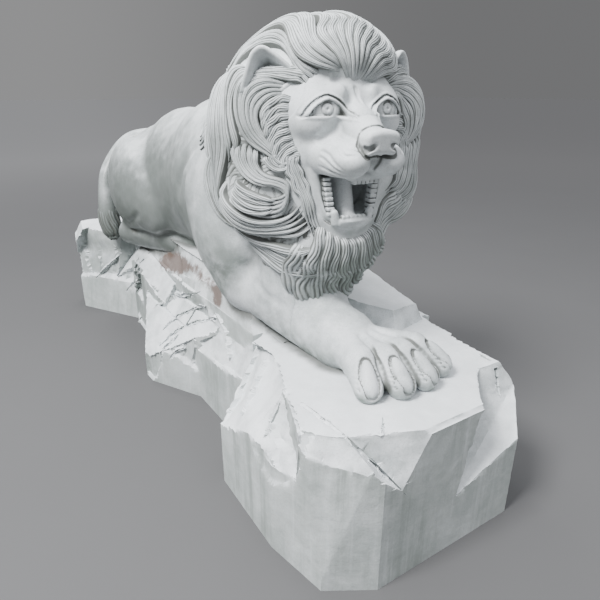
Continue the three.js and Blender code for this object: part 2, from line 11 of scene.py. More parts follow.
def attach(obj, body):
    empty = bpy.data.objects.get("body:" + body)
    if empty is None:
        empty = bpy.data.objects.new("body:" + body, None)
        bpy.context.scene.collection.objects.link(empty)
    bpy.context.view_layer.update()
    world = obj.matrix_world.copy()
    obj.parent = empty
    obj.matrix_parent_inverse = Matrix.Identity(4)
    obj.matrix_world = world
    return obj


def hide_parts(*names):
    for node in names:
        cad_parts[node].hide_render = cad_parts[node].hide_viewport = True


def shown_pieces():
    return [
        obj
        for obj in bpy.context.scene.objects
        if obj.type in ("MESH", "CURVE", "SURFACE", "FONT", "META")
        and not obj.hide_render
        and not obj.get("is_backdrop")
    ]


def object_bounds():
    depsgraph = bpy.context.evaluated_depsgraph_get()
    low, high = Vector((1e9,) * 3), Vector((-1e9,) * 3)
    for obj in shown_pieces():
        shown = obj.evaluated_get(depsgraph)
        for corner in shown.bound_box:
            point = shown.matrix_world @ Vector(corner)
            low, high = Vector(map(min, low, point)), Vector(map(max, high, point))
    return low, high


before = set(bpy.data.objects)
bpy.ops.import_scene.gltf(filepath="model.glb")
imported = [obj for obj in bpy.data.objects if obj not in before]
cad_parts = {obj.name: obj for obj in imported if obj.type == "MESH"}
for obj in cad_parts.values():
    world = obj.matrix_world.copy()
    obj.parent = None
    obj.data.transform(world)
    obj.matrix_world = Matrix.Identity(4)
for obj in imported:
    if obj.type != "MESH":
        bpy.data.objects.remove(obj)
CAD_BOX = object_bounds()

bl_info = {
    "name": "Marble lion on a rock",
    "version": (1, 0, 0),
    "blender": (4, 5, 0),
    "location": "3D View > Sidebar > Statue",
    "description": "Carves the lion's coat, face, mane and rock, and finishes them as weathered marble",
    "category": "Object",
}

# The forms below are in metres in the carver's own frame; this moves them to the middle of the footprint.
PLACE = np.array((-0.0425, -0.095, 0.0))

SPINE = 0.04
ROCK_TOP = 0.395
FACE_HALF_WIDTH = 0.150
MANE_HALF_WIDTH = 0.318
MANE_HALF_HEIGHT = 0.292
HEAD = np.array((0.045, -0.560, 1.000))
HEAD_TURN = math.radians(-8)
HEAD_NOD = math.radians(3)


def turning(turn, nod):
    """The turn about the upright axis after the nod about the axis across the head."""
    c, s = math.cos(turn), math.sin(turn)
    e, n = math.cos(nod), math.sin(nod)
    return np.array(((c, -s, 0), (s, c, 0), (0, 0, 1))) @ np.array(((1, 0, 0), (0, e, -n), (0, n, e)))


HEAD_AXES = turning(HEAD_TURN, HEAD_NOD).T
ACROSS, AHEAD, ABOVE = HEAD_AXES[0], -HEAD_AXES[1], HEAD_AXES[2]


def on_head(across, ahead, above):
    """Places that lie so far across, ahead of and above the middle of the head."""
    outer = np.multiply.outer
    return HEAD + outer(across, ACROSS) + outer(ahead, AHEAD) + outer(above, ABOVE)


def in_head(p):
    """How far points lie across, ahead of and above the middle of the head."""
    local = (p - HEAD) @ HEAD_AXES.T
    return local[:, 0], -local[:, 1], local[:, 2]


def egg(centre, radii, axes=None):
    """The distance to a muscle shaped like an egg, below zero inside; axes holds its directions as rows."""
    centre = np.asarray(centre, float)
    radii = np.asarray(radii, float)

    def distance(p):
        local = p - centre
        if axes is not None:
            local = local @ axes.T
        near = np.sqrt(((local / radii) ** 2).sum(1))
        slope = np.sqrt(((local / radii**2) ** 2).sum(1))
        return near * (near - 1) / np.maximum(slope, 1e-6)

    return distance


def limb(start, start_radius, end, end_radius):
    """The distance to a limb that thickens or thins from one joint to the next."""
    start = np.asarray(start, float)
    along = np.asarray(end, float) - start

    def distance(p):
        rel = p - start
        t = np.clip(rel @ along / (along @ along), 0, 1)
        reach = np.sqrt(((rel - t[:, None] * along) ** 2).sum(1))
        return reach - (start_radius + t * (end_radius - start_radius))

    return distance


def softly(a, b, fillet):
    """Two distances joined with a soft fillet."""
    h = np.maximum(fillet - np.abs(a - b), 0) / fillet
    return np.minimum(a, b) - h * h * fillet / 4


def join(shapes, fillet, p, start):
    """The distance to a form, start, with shapes joined to it softly, one after another."""
    for shape in shapes:
        start = softly(start, shape(p), fillet)
    return start


def carve(d, hole, fillet):
    """Cuts a hole, given by its distance, out of a shape, leaving a rounded rim."""
    return -softly(-d, hole, fillet)


def ease(x, low, high):
    """Runs smoothly from 0 at low to 1 at high."""
    t = np.clip((np.asarray(x, float) - low) / (high - low), 0, 1)
    return t * t * (3 - 2 * t)


def hump(x, width):
    """A rounded ridge, 1 at zero and gone at the width."""
    return np.maximum(1 - (x / width) ** 2, 0) ** 2


def grain(p, size, seed=0):
    """Smooth noise from -1 to 1 with lumps of the given size."""
    q = p / size
    base = np.floor(q).astype(np.int64)
    part = q - base
    part = part * part * (3 - 2 * part)
    total = np.zeros(len(p))
    for corner in range(8):
        step = np.array((corner & 1, corner >> 1 & 1, corner >> 2))
        spot = ((base + step) * np.array((374761393, 668265263, 1274126177))).sum(1) + seed * 974711
        spot = (spot ^ (spot >> 13)) * 1103515245 & 0x7FFFFFFF
        spot = (spot ^ (spot >> 11)) * 12345 & 0x7FFFFFFF
        weight = np.prod(np.where(step == 1, part, 1 - part), axis=1)
        total += weight * (spot / 0x3FFFFFFF - 1)
    return total


def unit(ways):
    """Rows of ways drawn to a length of one."""
    return ways / np.maximum(np.linalg.norm(ways, axis=1), 1e-9)[:, None]


def spline(points, count):
    """Points on a smooth curve through the given ones."""
    points = np.asarray(points, float)
    padded = np.vstack((2 * points[0] - points[1], points, 2 * points[-1] - points[-2]))
    t = np.linspace(0, len(points) - 1, count)
    i = np.minimum(t.astype(int), len(points) - 2)
    u = (t - i)[:, None]
    a, b, c, d = padded[i], padded[i + 1], padded[i + 2], padded[i + 3]
    return 0.5 * (2 * b + (c - a) * u + (2 * a - 5 * b + 4 * c - d) * u * u + (3 * b - a - 3 * c + d) * u**3)


def to_line(p, line):
    """The distance from points to a line of straight stretches, and how far along it the nearest place is."""
    best = np.full(len(p), 9.0)
    place = np.zeros(len(p))
    for i in range(len(line) - 1):
        along = line[i + 1] - line[i]
        rel = p - line[i]
        t = np.clip(rel @ along / (along @ along), 0, 1)
        reach = np.sqrt(((rel - t[:, None] * along) ** 2).sum(1))
        nearer = reach < best
        best[nearer] = reach[nearer]
        place[nearer] = (i + t[nearer]) / (len(line) - 1)
    return best, place


def strokes(p, lines):
    """The depth that chisel strokes take off at points; a stroke is its line, its width and its depth."""
    cut = np.zeros(len(p))
    for line, width, depth in lines:
        low, high = line.min(0) - 2 * width, line.max(0) + 2 * width
        near = np.flatnonzero(((p > low) & (p < high)).all(1))
        if len(near):
            reach, place = to_line(p[near], line)
            fade = ease(place, 0, 0.15) * (1 - ease(place, 0.8, 1) * 0.8)
            cut[near] += depth * fade * np.exp(-((reach / width) ** 2) * 2)
    return cut


def in_parts(field, p, size=150000):
    """Works a field out for many points, a part at a time."""
    return np.concatenate([field(p[i : i + size]) for i in range(0, len(p), size)])


def slope(field, p, step=0.001):
    """Which way a field grows."""
    g = np.empty_like(p)
    for i in range(3):
        shift = np.zeros(3)
        shift[i] = step
        g[:, i] = (in_parts(field, p + shift) - in_parts(field, p - shift)) / (2 * step)
    return g


def settle(field, p, times=1):
    """Brings points down onto the surface of a field."""
    for _ in range(times):
        g = slope(field, p)
        move = np.clip(in_parts(field, p) / np.maximum((g * g).sum(1), 0.25), -0.004, 0.004)
        p = p - move[:, None] * g
    return p


def net(field, low, high, cell):
    """Lays four-cornered faces over the surface where a field is zero, and gives their points and corners."""
    block = 4
    low = np.asarray(low, float)
    blocks = np.ceil((np.asarray(high) - low) / (cell * block)).astype(int)
    index = np.stack(np.meshgrid(*[np.arange(n) for n in blocks], indexing="ij"), -1).reshape(-1, 3)
    middle = low + (index * block + (block - 1) / 2) * cell
    coarse = in_parts(field, middle)
    values = np.empty(blocks * block)
    shape = (blocks[0], block, blocks[1], block, blocks[2], block)
    by_block = values.reshape(shape).transpose(0, 2, 4, 1, 3, 5)
    by_block[:] = coarse.reshape(*blocks)[..., None, None, None]
    near = np.flatnonzero(np.abs(coarse) < block * cell * 1.45 + 0.004)
    steps = np.stack(np.meshgrid(*[np.arange(block)] * 3, indexing="ij"), -1).reshape(-1, 3)
    points = low + (index[near][:, None] * block + steps[None]) * cell
    fine = in_parts(field, points.reshape(-1, 3)).reshape(-1, block, block, block)
    where = index[near]
    by_block[where[:, 0], where[:, 1], where[:, 2]] = fine
    inside = values < 0
    size = np.array(values.shape) - 1
    filled = np.zeros(size, int)
    for corner in range(8):
        i, j, k = corner & 1, corner >> 1 & 1, corner >> 2
        filled += inside[i : i + size[0], j : j + size[1], k : k + size[2]]
    cells = np.argwhere((filled > 0) & (filled < 8))
    total = np.zeros((len(cells), 3))
    hits = np.zeros(len(cells))
    unit = np.eye(3, dtype=int)
    for axis in range(3):
        b, c = unit[(axis + 1) % 3], unit[(axis + 2) % 3]
        for offset in (0 * b, b, c, b + c):
            start = cells + offset
            end = start + unit[axis]
            v, w = values[tuple(start.T)], values[tuple(end.T)]
            crossing = (v < 0) != (w < 0)
            t = v / np.where(crossing, v - w, 1)
            total += np.where(crossing[:, None], start + t[:, None] * unit[axis], 0)
            hits += crossing
    number = np.full(size, -1)
    number[tuple(cells.T)] = np.arange(len(cells))
    faces = []
    for axis in range(3):
        b, c = unit[(axis + 1) % 3], unit[(axis + 2) % 3]
        ahead = np.roll(inside, -1, axis)
        edge = np.argwhere(inside != ahead)
        edge = edge[(edge[:, axis] < size[axis]) & (edge >= b + c).all(1) & (edge < size).all(1)]
        quad = np.stack([number[tuple((edge - o).T)] for o in (b + c, c, 0 * b, b)], 1)
        out = inside[tuple(edge.T)]
        quad[~out] = quad[~out][:, ::-1]
        faces.append(quad[(quad >= 0).all(1)])
    return low + total / hits[:, None] * cell, np.concatenate(faces)


def both(make):
    """The form on the lion's right, side -1, and the one on its left, side 1."""
    return [make(-1), make(1)]


def beside_spine(side, out, y, z):
    """A place so far out from the spine, on one side."""
    return (SPINE + side * out, y, z)


def head_egg(across, ahead, above, radii):
    """A muscle of the head, which turns with it."""
    return egg(on_head(across, ahead, above), radii, HEAD_AXES)


# The lion's muscles, group by group.
BODY = [
    egg((SPINE + 0.105, -0.37, 0.57), (0.065, 0.075, 0.08)),
    egg((SPINE, 0, 0.775), (0.205, 0.42, 0.3)),
    egg((SPINE, 0.4, 0.745), (0.19, 0.4, 0.282)),
    egg((SPINE - 0.005, 0.7, 0.7), (0.205, 0.285, 0.25)),
    *both(lambda s: egg(beside_spine(s, 0.15, -0.23, 0.72), (0.095, 0.18, 0.225))),
    *both(lambda s: egg(beside_spine(s, 0.172, 0.69, 0.685), (0.108, 0.245, 0.205))),
    *both(lambda s: egg(beside_spine(s, 0.15, 0.49, 0.62), (0.072, 0.12, 0.125))),
    *both(
        lambda s: limb(beside_spine(s, 0.195, 0.8, 0.452), 0.056, beside_spine(s, 0.04, 0.27, 0.468), 0.05)
    ),
]
NECK = [
    limb(on_head(0.008, -0.13, -0.03), 0.228, (SPINE, -0.16, 0.815), 0.215),
    limb(on_head(0, 0.01, -0.19), 0.15, (0.03, -0.5, 0.59), 0.14),
    head_egg(0.016, -0.075, -0.005, (MANE_HALF_WIDTH - 0.026, 0.2, MANE_HALF_HEIGHT - 0.045)),
    head_egg(0.012, -0.045, -0.165, (MANE_HALF_WIDTH - 0.036, 0.175, 0.19)),
    head_egg(0, 0.03, 0.14, (0.12, 0.112, 0.068)),
    head_egg(0, 0.078, -0.29, (0.125, 0.088, 0.078)),
]
FACE = [
    *both(lambda s: head_egg(s * (FACE_HALF_WIDTH - 0.08), 0.084, 0.042, (0.08, 0.088, 0.082))),
    head_egg(0, 0.062, 0.07, (0.088, 0.078, 0.082)),
    limb(on_head(0, 0.112, 0.05), 0.052, on_head(0, 0.236, -0.008), 0.038),
    *both(lambda s: limb(on_head(s * 0.066, 0.096, -0.042), 0.062, on_head(s * 0.046, 0.2, -0.058), 0.046)),
]
JAW = [
    head_egg(0, 0.092, -0.214, (0.078, 0.092, 0.036)),
    *both(lambda s: limb(on_head(s * 0.088, 0.084, -0.07), 0.034, on_head(s * 0.066, 0.122, -0.2), 0.03)),
]
ELBOW = np.array((-0.038, -0.28, 0.515))
WRIST = np.array((0.018, -0.712, 0.448))
LEFT_ELBOW = np.array((SPINE + 0.165, -0.12, 0.525))
LEFT_WRIST = np.array((0.265, -0.3, 0.455))
FORELEGS = [
    limb((-0.085, -0.27, 0.7), 0.112, ELBOW, 0.106),
    limb(ELBOW, 0.104, WRIST, 0.088),
    limb((SPINE + 0.16, -0.24, 0.69), 0.115, LEFT_ELBOW, 0.1),
    limb(LEFT_ELBOW, 0.092, LEFT_WRIST, 0.062),
]


# How softly each group of forms is joined to the rest.
BODY_FILLET = 0.055
LEG_FILLET = 0.045
NECK_FILLET = 0.06
FACE_FILLET = 0.022
JAW_FILLET = 0.016
BROW_FILLET = 0.016
FLEW_FILLET = 0.014


def nothing(p):
    """A distance that is far from any form, to join the first form to."""
    return np.full(len(p), 1.0)


def head_on(p, d):
    """The head and neck joined to another form."""
    d = join(NECK, NECK_FILLET, p, d)
    d = join(FACE, FACE_FILLET, p, d)
    return join(JAW, JAW_FILLET, p, d)


def head_only(p):
    """The head and neck, without the body's forms, which never reach the face."""
    return head_on(p, nothing(p))


def mane_base(p):
    """What the mane grows on: the lion without its forelegs."""
    return head_on(p, join(BODY, BODY_FILLET, p, nothing(p)))


def bulk(p):
    """The lion without its paws' toes, its mouth and its hair."""
    return head_on(p, join(FORELEGS, LEG_FILLET, p, join(BODY, BODY_FILLET, p, nothing(p))))


# A paw is its wrist, how far its toes reach ahead and aside, how far apart they are, and its size.
RIGHT_PAW = (WRIST, 0.236, 0.036, 0.078, 1.0)
LEFT_PAW = (LEFT_WRIST, 0.125, 0.01, 0.056, 0.82)


def paw_toes(wrist, ahead, aside, spread, size):
    """A forepaw's four toes, fanned round its wrist: each one's start, knuckle, tip and way ahead."""
    toes = []
    for i in range(4):
        fan = i - 1.5
        reach = wrist[1] - ahead + 0.014 * fan * fan
        tip = np.array((wrist[0] + aside + fan * spread, reach, ROCK_TOP + 0.03 * size))
        start = wrist + (tip - wrist) * (0.3, 0.3, 0)
        way = (tip - start) * (1, 1, 0)
        way /= np.linalg.norm(way)
        knuckle = tip - way * 0.075 * size + np.array((0, 0, 0.03)) * size
        toes.append((start, knuckle, tip, way))
    return toes


def paw_field(paw, leg):
    """A forepaw with its toes, sheathed claws, and the tufts cut beside them."""
    size = paw[4]
    toes = paw_toes(*paw)
    shapes, claws, lines = [], [], []
    for start, knuckle, tip, way in toes:
        shapes.append(limb(start, 0.052 * size, knuckle, 0.044 * size))
        shapes.append(limb(knuckle, 0.043 * size, tip, 0.036 * size))
        side = np.cross(way, (0, 0, 1))
        fall = way * 0.72 - np.array((0, 0, 0.69))
        out = np.cross(side, fall)
        out *= np.sign(out[2]) / np.linalg.norm(out)
        middle = (knuckle + tip) / 2 + out * 0.035 * size + fall * 0.018 * size
        axes = np.array((side, fall / np.linalg.norm(fall), out))
        claws.append((middle, axes))
        for across in (-1, 1):
            for k in range(6):
                along = (k - 2.6) * 0.0135 * size
                first = middle + across * side * 0.019 * size + fall * along
                last = first + (across * side * 0.016 - fall * 0.012 - out * 0.006) * size
                middle_way = (first + last) / 2 - out * 0.001
                lines.append((np.array((first, middle_way, last)), 0.0042 * size, 0.0042 * size))
    gaps = []
    for one, other in zip(toes, toes[1:]):
        line = [(a + b) / 2 + (0, 0, rise * size) for a, b, rise in zip(one, other, (0.05, 0.036, 0.02))]
        gaps.append((spline(line, 8), 0.011 * size, 0.008 * size))

    def field(p):
        d = join(leg, 0.03, p, nothing(p))
        d = join(shapes, 0.013 * size, p, d)
        d = d + strokes(p, lines) + strokes(p, gaps) - 0.0008 * grain(p, 0.02, 21)
        for middle, axes in claws:
            plate = egg(middle, np.array((0.0175, 0.047, 0.013)) * size, axes)(p)
            d = d + 0.006 * size * hump(plate - 0.0035, 0.0045)
            d = np.minimum(d, plate)
        return np.maximum(d, ROCK_TOP - 0.03 - p[:, 2])

    return field


def add_piece(name, points, faces, marks=None):
    """Makes a piece of the points and faces, with numbers marked on its points, that rides with the lion."""
    mesh = bpy.data.meshes.new(name)
    faces = faces.tolist() if isinstance(faces, np.ndarray) else faces
    mesh.from_pydata((np.asarray(points) + PLACE).tolist(), [], faces)
    mesh.validate()
    for key, values in (marks or {}).items():
        mark(mesh, key, values)
    mesh.shade_smooth()
    piece = bpy.data.objects.new(name, mesh)
    bpy.context.collection.objects.link(piece)
    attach(piece, "root")
    return piece


def mark(mesh, name, values):
    """Marks numbers on a mesh's points."""
    mesh.attributes.new(name, "FLOAT", "POINT").data.foreach_set("value", np.asarray(values, np.float32))


def read(mesh, what):
    """The places or the normals of a mesh's points."""
    values = np.empty(len(mesh.vertices) * 3)
    mesh.vertices.foreach_get(what, values)
    return values.reshape(-1, 3)


def tube(count, rings):
    """The faces between one ring of points and the next."""
    ring = np.arange(count)
    after = np.roll(ring, -1)
    band = np.stack((ring, after, count + after, count + ring), 1)
    return np.concatenate([i * count + band for i in range(rings - 1)])


def only(piece):
    """Selects a piece alone."""
    bpy.ops.object.select_all(action="DESELECT")
    piece.select_set(True)
    bpy.context.view_layer.objects.active = piece


def apply_all(piece):
    """Applies a piece's modifiers, in their order."""
    only(piece)
    for modifier in list(piece.modifiers):
        bpy.ops.object.modifier_apply(modifier=modifier.name)


# How far out a point is probed for how closed in it is, and how much each probe counts.
PROBES = ((0.012, 0.6), (0.035, 0.4))


def hollows(field, p, normal, reach):
    """How closed in points are, from 0 in the open to 1 at the bottom of a narrow cut."""
    return np.clip(1 - in_parts(field, p + normal * reach) / reach, 0, 1)


def sculpt(name, field, low, high, cell, times=1):
    """Makes a piece of a field, with how closed in each of its points is, marked to darken the stone there as
    grime and painted shade.
    """
    points, faces = net(field, low, high, cell)
    points = settle(field, points, times)
    normal = unit(slope(field, points, cell * 0.3))
    close = sum(hollows(field, points, normal, reach) * share for reach, share in PROBES)
    return add_piece(name, points, faces, {"grime": close})


# The middle and the radii of the egg-shaped space that the face's piece fills, in the head's directions, and
# how far the coat reaches into it.
FACE_HEART = (0, 0.1, -0.05)
FACE_REACH = (0.158, 0.225, 0.218)
FACE_LAP = 0.03


def face_round(p, margin=0.0):
    """The distance to the space the face piece fills."""
    return egg(on_head(*FACE_HEART), np.array(FACE_REACH) - margin, HEAD_AXES)(p)


# The forepaws' pieces start here along y, and reach this much past it into the coat.
RIGHT_PAW_START = -0.6
LEFT_PAW_START = -0.22
PAW_LAP = 0.02


def paw_space(p):
    """How far points are from the space where the two forepaws' pieces take the coat's place."""
    right = np.maximum(p[:, 1] - (RIGHT_PAW_START - PAW_LAP), p[:, 2] - 0.62)
    left = np.maximum(np.maximum(p[:, 1] - (LEFT_PAW_START - PAW_LAP), 0.19 - p[:, 0]), p[:, 2] - 0.6)
    return np.minimum(right, left)


def worn(p):
    """The bulk with the slight unevenness of its surface."""
    return bulk(p) - 0.0012 * grain(p, 0.03, 4)


# Folds of skin in the coat: their width and depth, then places along them, in millimetres.
FOLDS = [
    (26, 12, (-150, -190, 930), (-181, -110, 917), (-193, -60, 880), (-195, -21, 843), (-192, 20, 790),
     (-190, 48, 732)),
    (22, 9, (-118, -210, 960), (-140, -150, 900), (-150, -120, 830), (-152, -100, 760), (-150, -90, 690)),
    (30, 10, (-150, 120, 905), (-185, 160, 820), (-192, 180, 720), (-185, 230, 620), (-180, 330, 540)),
    (20, 12, (-150, 760, 500), (-150, 600, 508), (-125, 450, 514), (-95, 330, 516), (-60, 230, 516)),
    (16, 8, (-190, 470, 610), (-200, 560, 560), (-190, 660, 530)),
    (14, 6, (-100, -420, 560), (-85, -500, 540), (-68, -580, 522)),
]


# How much lower the coat lies under the hair.
HAIR_SEAT = 0.006


def coat_field():
    """The coat: the bulk with its folds, lower under the hair, cut away behind the finer face and paws."""
    folds = []
    for width, depth, *places in FOLDS:
        folds.append((settle(bulk, spline(np.array(places) / 1000, 18), 8), width / 1000, depth / 1000))

    def field(p):
        d = worn(p)
        s, f, u = in_head(p)
        round_face = ease(np.hypot(s, u + 0.03), 0.14, 0.2)
        d = d + HAIR_SEAT * (round_face * ease(-p[:, 1], 0.12, 0.3) * ease(p[:, 2], 0.62, 0.72))
        d = d - 0.0035 * grain(p, 0.16, 3) * ease(p[:, 1], -0.1, 0.1)
        d = d + strokes(p, folds)
        d = np.maximum(d, -face_round(p, FACE_LAP))
        return np.maximum(d, PAW_LAP - paw_space(p))

    return field


# How high the straight lower lids lie, and how far across the middles of the eyes and of the nose lie.
LIDS = 0.041
EYE_ACROSS = 0.078
NOSE_ACROSS = 0.004


def eye_opening(s, u):
    """The distance from the edge of the eye's opening, seen from ahead: a pointed arch on a straight lid."""
    side = np.abs(s)
    arch = np.maximum(
        np.hypot(side - EYE_ACROSS - 0.012, u - LIDS + 0.024) - 0.0575,
        np.hypot(side - EYE_ACROSS + 0.012, u - LIDS + 0.024) - 0.0575,
    )
    return np.maximum(arch, LIDS - u)


def head_line(points, count=16):
    """A smooth line on the face, from places across, ahead and above in millimetres."""
    across, ahead, above = spline(np.array(points) / 1000, count).T
    return on_head(across, ahead, above)


FLEWS = both(lambda s: head_egg(s * 0.046, 0.196, -0.052, (0.052, 0.08, 0.042)))
BROWS = both(lambda s: head_egg(s * 0.036, 0.136, 0.086, (0.03, 0.03, 0.03)))


def muzzle(p):
    """The head with its flews and brows, before the mouth and the finer cuts."""
    return join(FLEWS, FLEW_FILLET, p, join(BROWS, BROW_FILLET, p, head_only(p)))


# Creases and whisker grooves on one side of the face: their width and depth, then places along them, in
# millimetres.
CREASES = [
    (15, 15, (60, 131, 122), (42, 138, 114), (28, 146, 99), (23, 162, 77), (24, 180, 62), (32, 187, 50)),
    (5, 4, (0, 148, 108), (0, 160, 90), (0, 172, 76), (0, 180, 66)),
    (18, 11, (50, 178, 34), (62, 172, 22), (74, 168, 8), (88, 165, -8), (100, 160, -24)),
    (5, 8, (90, 180, -12), (82, 188, -15), (74, 206, -20), (72, 222, -30), (66, 240, -44), (52, 253, -46)),
    (5, 8, (99, 178, -32), (94, 190, -36), (88, 212, -42), (84, 235, -55), (70, 246, -62)),
    (4.5, 6, (101, 176, -46), (96, 196, -50), (90, 218, -58), (82, 236, -68), (66, 250, -72)),
    (4, 5, (102, 172, -68), (97, 200, -72), (88, 226, -78), (74, 246, -84), (50, 260, -84), (22, 260, -78)),
    (4, 3, (84, 192, -2), (74, 212, -8), (66, 232, -20), (58, 246, -30)),
    (4.5, 5, (14, 272, -30), (8, 264, -44), (4, 256, -60), (2, 248, -76), (4, 244, -92)),
    (4, 5, (50, 238, 18), (34, 250, 25), (14, 255, 27), (0, 256, 27)),
    (4, 4, (66, 226, 0), (60, 234, -20), (48, 246, -36), (30, 260, -40)),
    (4, 3, (134, 122, 40), (126, 140, 37), (117, 150, 38)),
    (5, 3, (24, 206, 36), (16, 210, 37), (6, 213, 38), (0, 213, 38)),
]


def face_strokes():
    """The creases and whisker grooves of the face, on both its sides."""
    lines = []
    for width, depth, *places in CREASES:
        for side in (-1, 1):
            line = head_line([(side * a, b, c) for a, b, c in places])
            lines.append((settle(muzzle, line, 4), width / 1000, depth / 1000))
    return lines


def rounded(reach, corner):
    """A block's edge distance with rounded corners, from how far a point lies past its sides."""
    return np.sqrt(sum(np.maximum(r + corner, 0) ** 2 for r in reach)) - corner


def nose_pad(p):
    """The distance to the nose's pad, a rounded block that is wider at its top."""
    s, f, u = in_head(p)
    side = np.abs(s - NOSE_ACROSS)
    wide = 0.037 + 0.007 * ease(u, -0.04, 0.0)
    lift = 0.25 * (s - NOSE_ACROSS) ** 2 / 0.05
    high = np.abs(u + 0.005 + lift) - 0.027
    return rounded((side - wide, high, np.abs(f - 0.262 - 0.1 * u) - 0.022), 0.012)


def mouth_hole(p):
    """The open mouth: a rounded opening, wider above, that ends in the throat."""
    s, f, u = in_head(p)
    wide = 0.088 - 0.024 * ease(-u, 0.09, 0.2)
    opening = rounded((np.abs(s) - wide, np.abs(u + 0.14) - 0.06), 0.026)
    throat = 0.062 + 4.5 * s**2 - f
    return np.maximum(opening, throat), opening


def block(centre, size, corner):
    """A rounded block in the head's directions; size is half its length in each."""

    def distance(p):
        return rounded([np.abs(x - c) - half for x, c, half in zip(in_head(p), centre, size)], corner)

    return distance


def all_teeth():
    """Cheek teeth in a ladder down each side of the mouth, the small front teeth, and the fangs."""
    teeth = []
    for side in (-1, 1):
        for i in range(8):
            down = i / 7
            place = (side * (0.068 - 0.012 * down), 0.146 + 0.01 * down, -0.104 - 0.085 * down)
            teeth.append(block(place, (0.0095, 0.012, 0.0052), 0.0025))
        root, point = on_head(side * 0.044, 0.166, -0.21), on_head(side * 0.05, 0.168, -0.186)
        teeth.append(limb(root, 0.013, point, 0.009))
    for i in range(6):
        across = (i - 2.5) * 0.0115
        teeth.append(block((across, 0.174, -0.2), (0.005, 0.006, 0.007), 0.0025))
        teeth.append(block((across, 0.216, -0.098), (0.005, 0.007, 0.009), 0.0025))
    return teeth


def face_field():
    """The finely carved face: brows, lids, eyes, nose, lips, gums and the open mouth."""
    lines = face_strokes()
    teeth = all_teeth()
    bags = both(lambda s: head_egg(s * 0.092, 0.122, 0.016, (0.04, 0.034, 0.024)))
    eyeballs = both(lambda s: head_egg(s * 0.067, 0.119, 0.05, (0.062, 0.051, 0.044)))
    nostrils = both(
        lambda s: limb(
            on_head(NOSE_ACROSS + s * 0.022, 0.284, -0.012), 0.006,
            on_head(NOSE_ACROSS + s * 0.037, 0.27, -0.02), 0.0085,
        )
    )
    inside = [
        limb(on_head(0, 0.088, -0.1), 0.03, on_head(0, 0.125, -0.2), 0.027),
        limb(on_head(0, 0.125, -0.204), 0.022, on_head(0, 0.16, -0.203), 0.014),
    ]
    gums = [
        limb(on_head(-0.035, 0.17, -0.212), 0.012, on_head(0.035, 0.17, -0.212), 0.012),
        limb(on_head(-0.036, 0.212, -0.086), 0.014, on_head(0.036, 0.212, -0.086), 0.014),
    ]
    lobes = both(
        lambda s: limb(on_head(s * 0.092, 0.13, -0.085), 0.016, on_head(s * 0.07, 0.135, -0.2), 0.016)
    )

    def field(p):
        s, f, u = in_head(p)
        d = join(bags, 0.024, p, join(BROWS, BROW_FILLET, p, head_only(p)))
        hole, opening = mouth_hole(p)
        lip = hump(opening - 0.006, 0.008) * ease(f, 0.08, 0.12) * ease(-u, 0.09, 0.12)
        d = d - 0.005 * lip + 0.004 * hump(opening - 0.017, 0.005) * ease(f, 0.1, 0.13) * ease(-u, 0.09, 0.12)
        d = carve(d, hole, 0.008)
        d = join(lobes, 0.006, p, d)
        d = join(FLEWS, FLEW_FILLET, p, d)
        edge = eye_opening(s, u)
        front = ease(f, 0.09, 0.115)
        upper = ease(u, LIDS - 0.004, LIDS + 0.006)
        lids = 0.0065 * hump(edge - 0.005, 0.006) * (0.3 + 0.7 * upper)
        lids += (0.003 * hump(edge - 0.015, 0.0045) - 0.0035 * hump(edge - 0.0105, 0.004)) * upper
        d = d - lids * front
        d = d + strokes(p, lines)
        pad = nose_pad(p)
        d = softly(d + 0.004 * hump(pad - 0.004, 0.005), pad, 0.003)
        cleft = 0.0035 * np.exp(-(((s - NOSE_ACROSS) / 0.006) ** 2))
        d = d - cleft * ease(f, 0.25, 0.27) * ease(-u, 0.02, 0.04)
        for nostril in nostrils:
            d = carve(d, nostril(p), 0.004)
        d = carve(d, np.maximum(edge, 0.1 - f), 0.003)
        ball = join(eyeballs, 0.001, p, nothing(p))
        aim = np.hypot(np.abs(s) - EYE_ACROSS - 0.001, u - 0.0555)
        iris = 0.0026 * hump(aim - 0.0145, 0.003) + 0.004 * hump(aim, 0.0055)
        d = softly(d, ball + iris, 0.0015)
        d = join(gums, 0.006, p, d)
        d = join(inside, 0.008, p, d)
        d = join(teeth, 0.0025, p, d)
        return np.maximum(d, face_round(p))

    return field


def colour_setting(name, description, default):
    return bpy.props.FloatVectorProperty(
        name=name, description=description, subtype="COLOR", size=3, min=0, max=1, default=default
    )


def length_setting(name, description, default, low, high):
    return bpy.props.FloatProperty(
        name=name, description=description, default=default, min=low, max=high,
        subtype="DISTANCE", unit="LENGTH",
    )


class StoneSettings(bpy.types.PropertyGroup):
    """The marble's colours."""

    light: colour_setting("Light stone", "Colour of the clean, worn stone", (0.74, 0.77, 0.79))
    shade: colour_setting("Grey stone", "Colour of the greyer patches and veins", (0.36, 0.395, 0.4))
    blue: colour_setting("Cool stone", "Colour of the faintly blue patches", (0.6, 0.645, 0.69))
    sawn: colour_setting("Sawn stone", "Colour of the sawn upright faces", (0.4, 0.44, 0.42))
    soil: colour_setting("Soil", "Colour of the earth in the rock's clefts", (0.11, 0.065, 0.045))
    # This colour is also painted shade in the cuts, grooves and hollows.
    grime: colour_setting("Grime", "Colour of the dirt that sits in the cuts", (0.085, 0.09, 0.08))
    # The patina colour also paints shade on undersides and low stone, and a dark reflection on the
    # hindquarters.
    patina_and_shade: colour_setting("Patina", "Colour of the damp film on sheltered stone", (0.19, 0.22, 0.2))


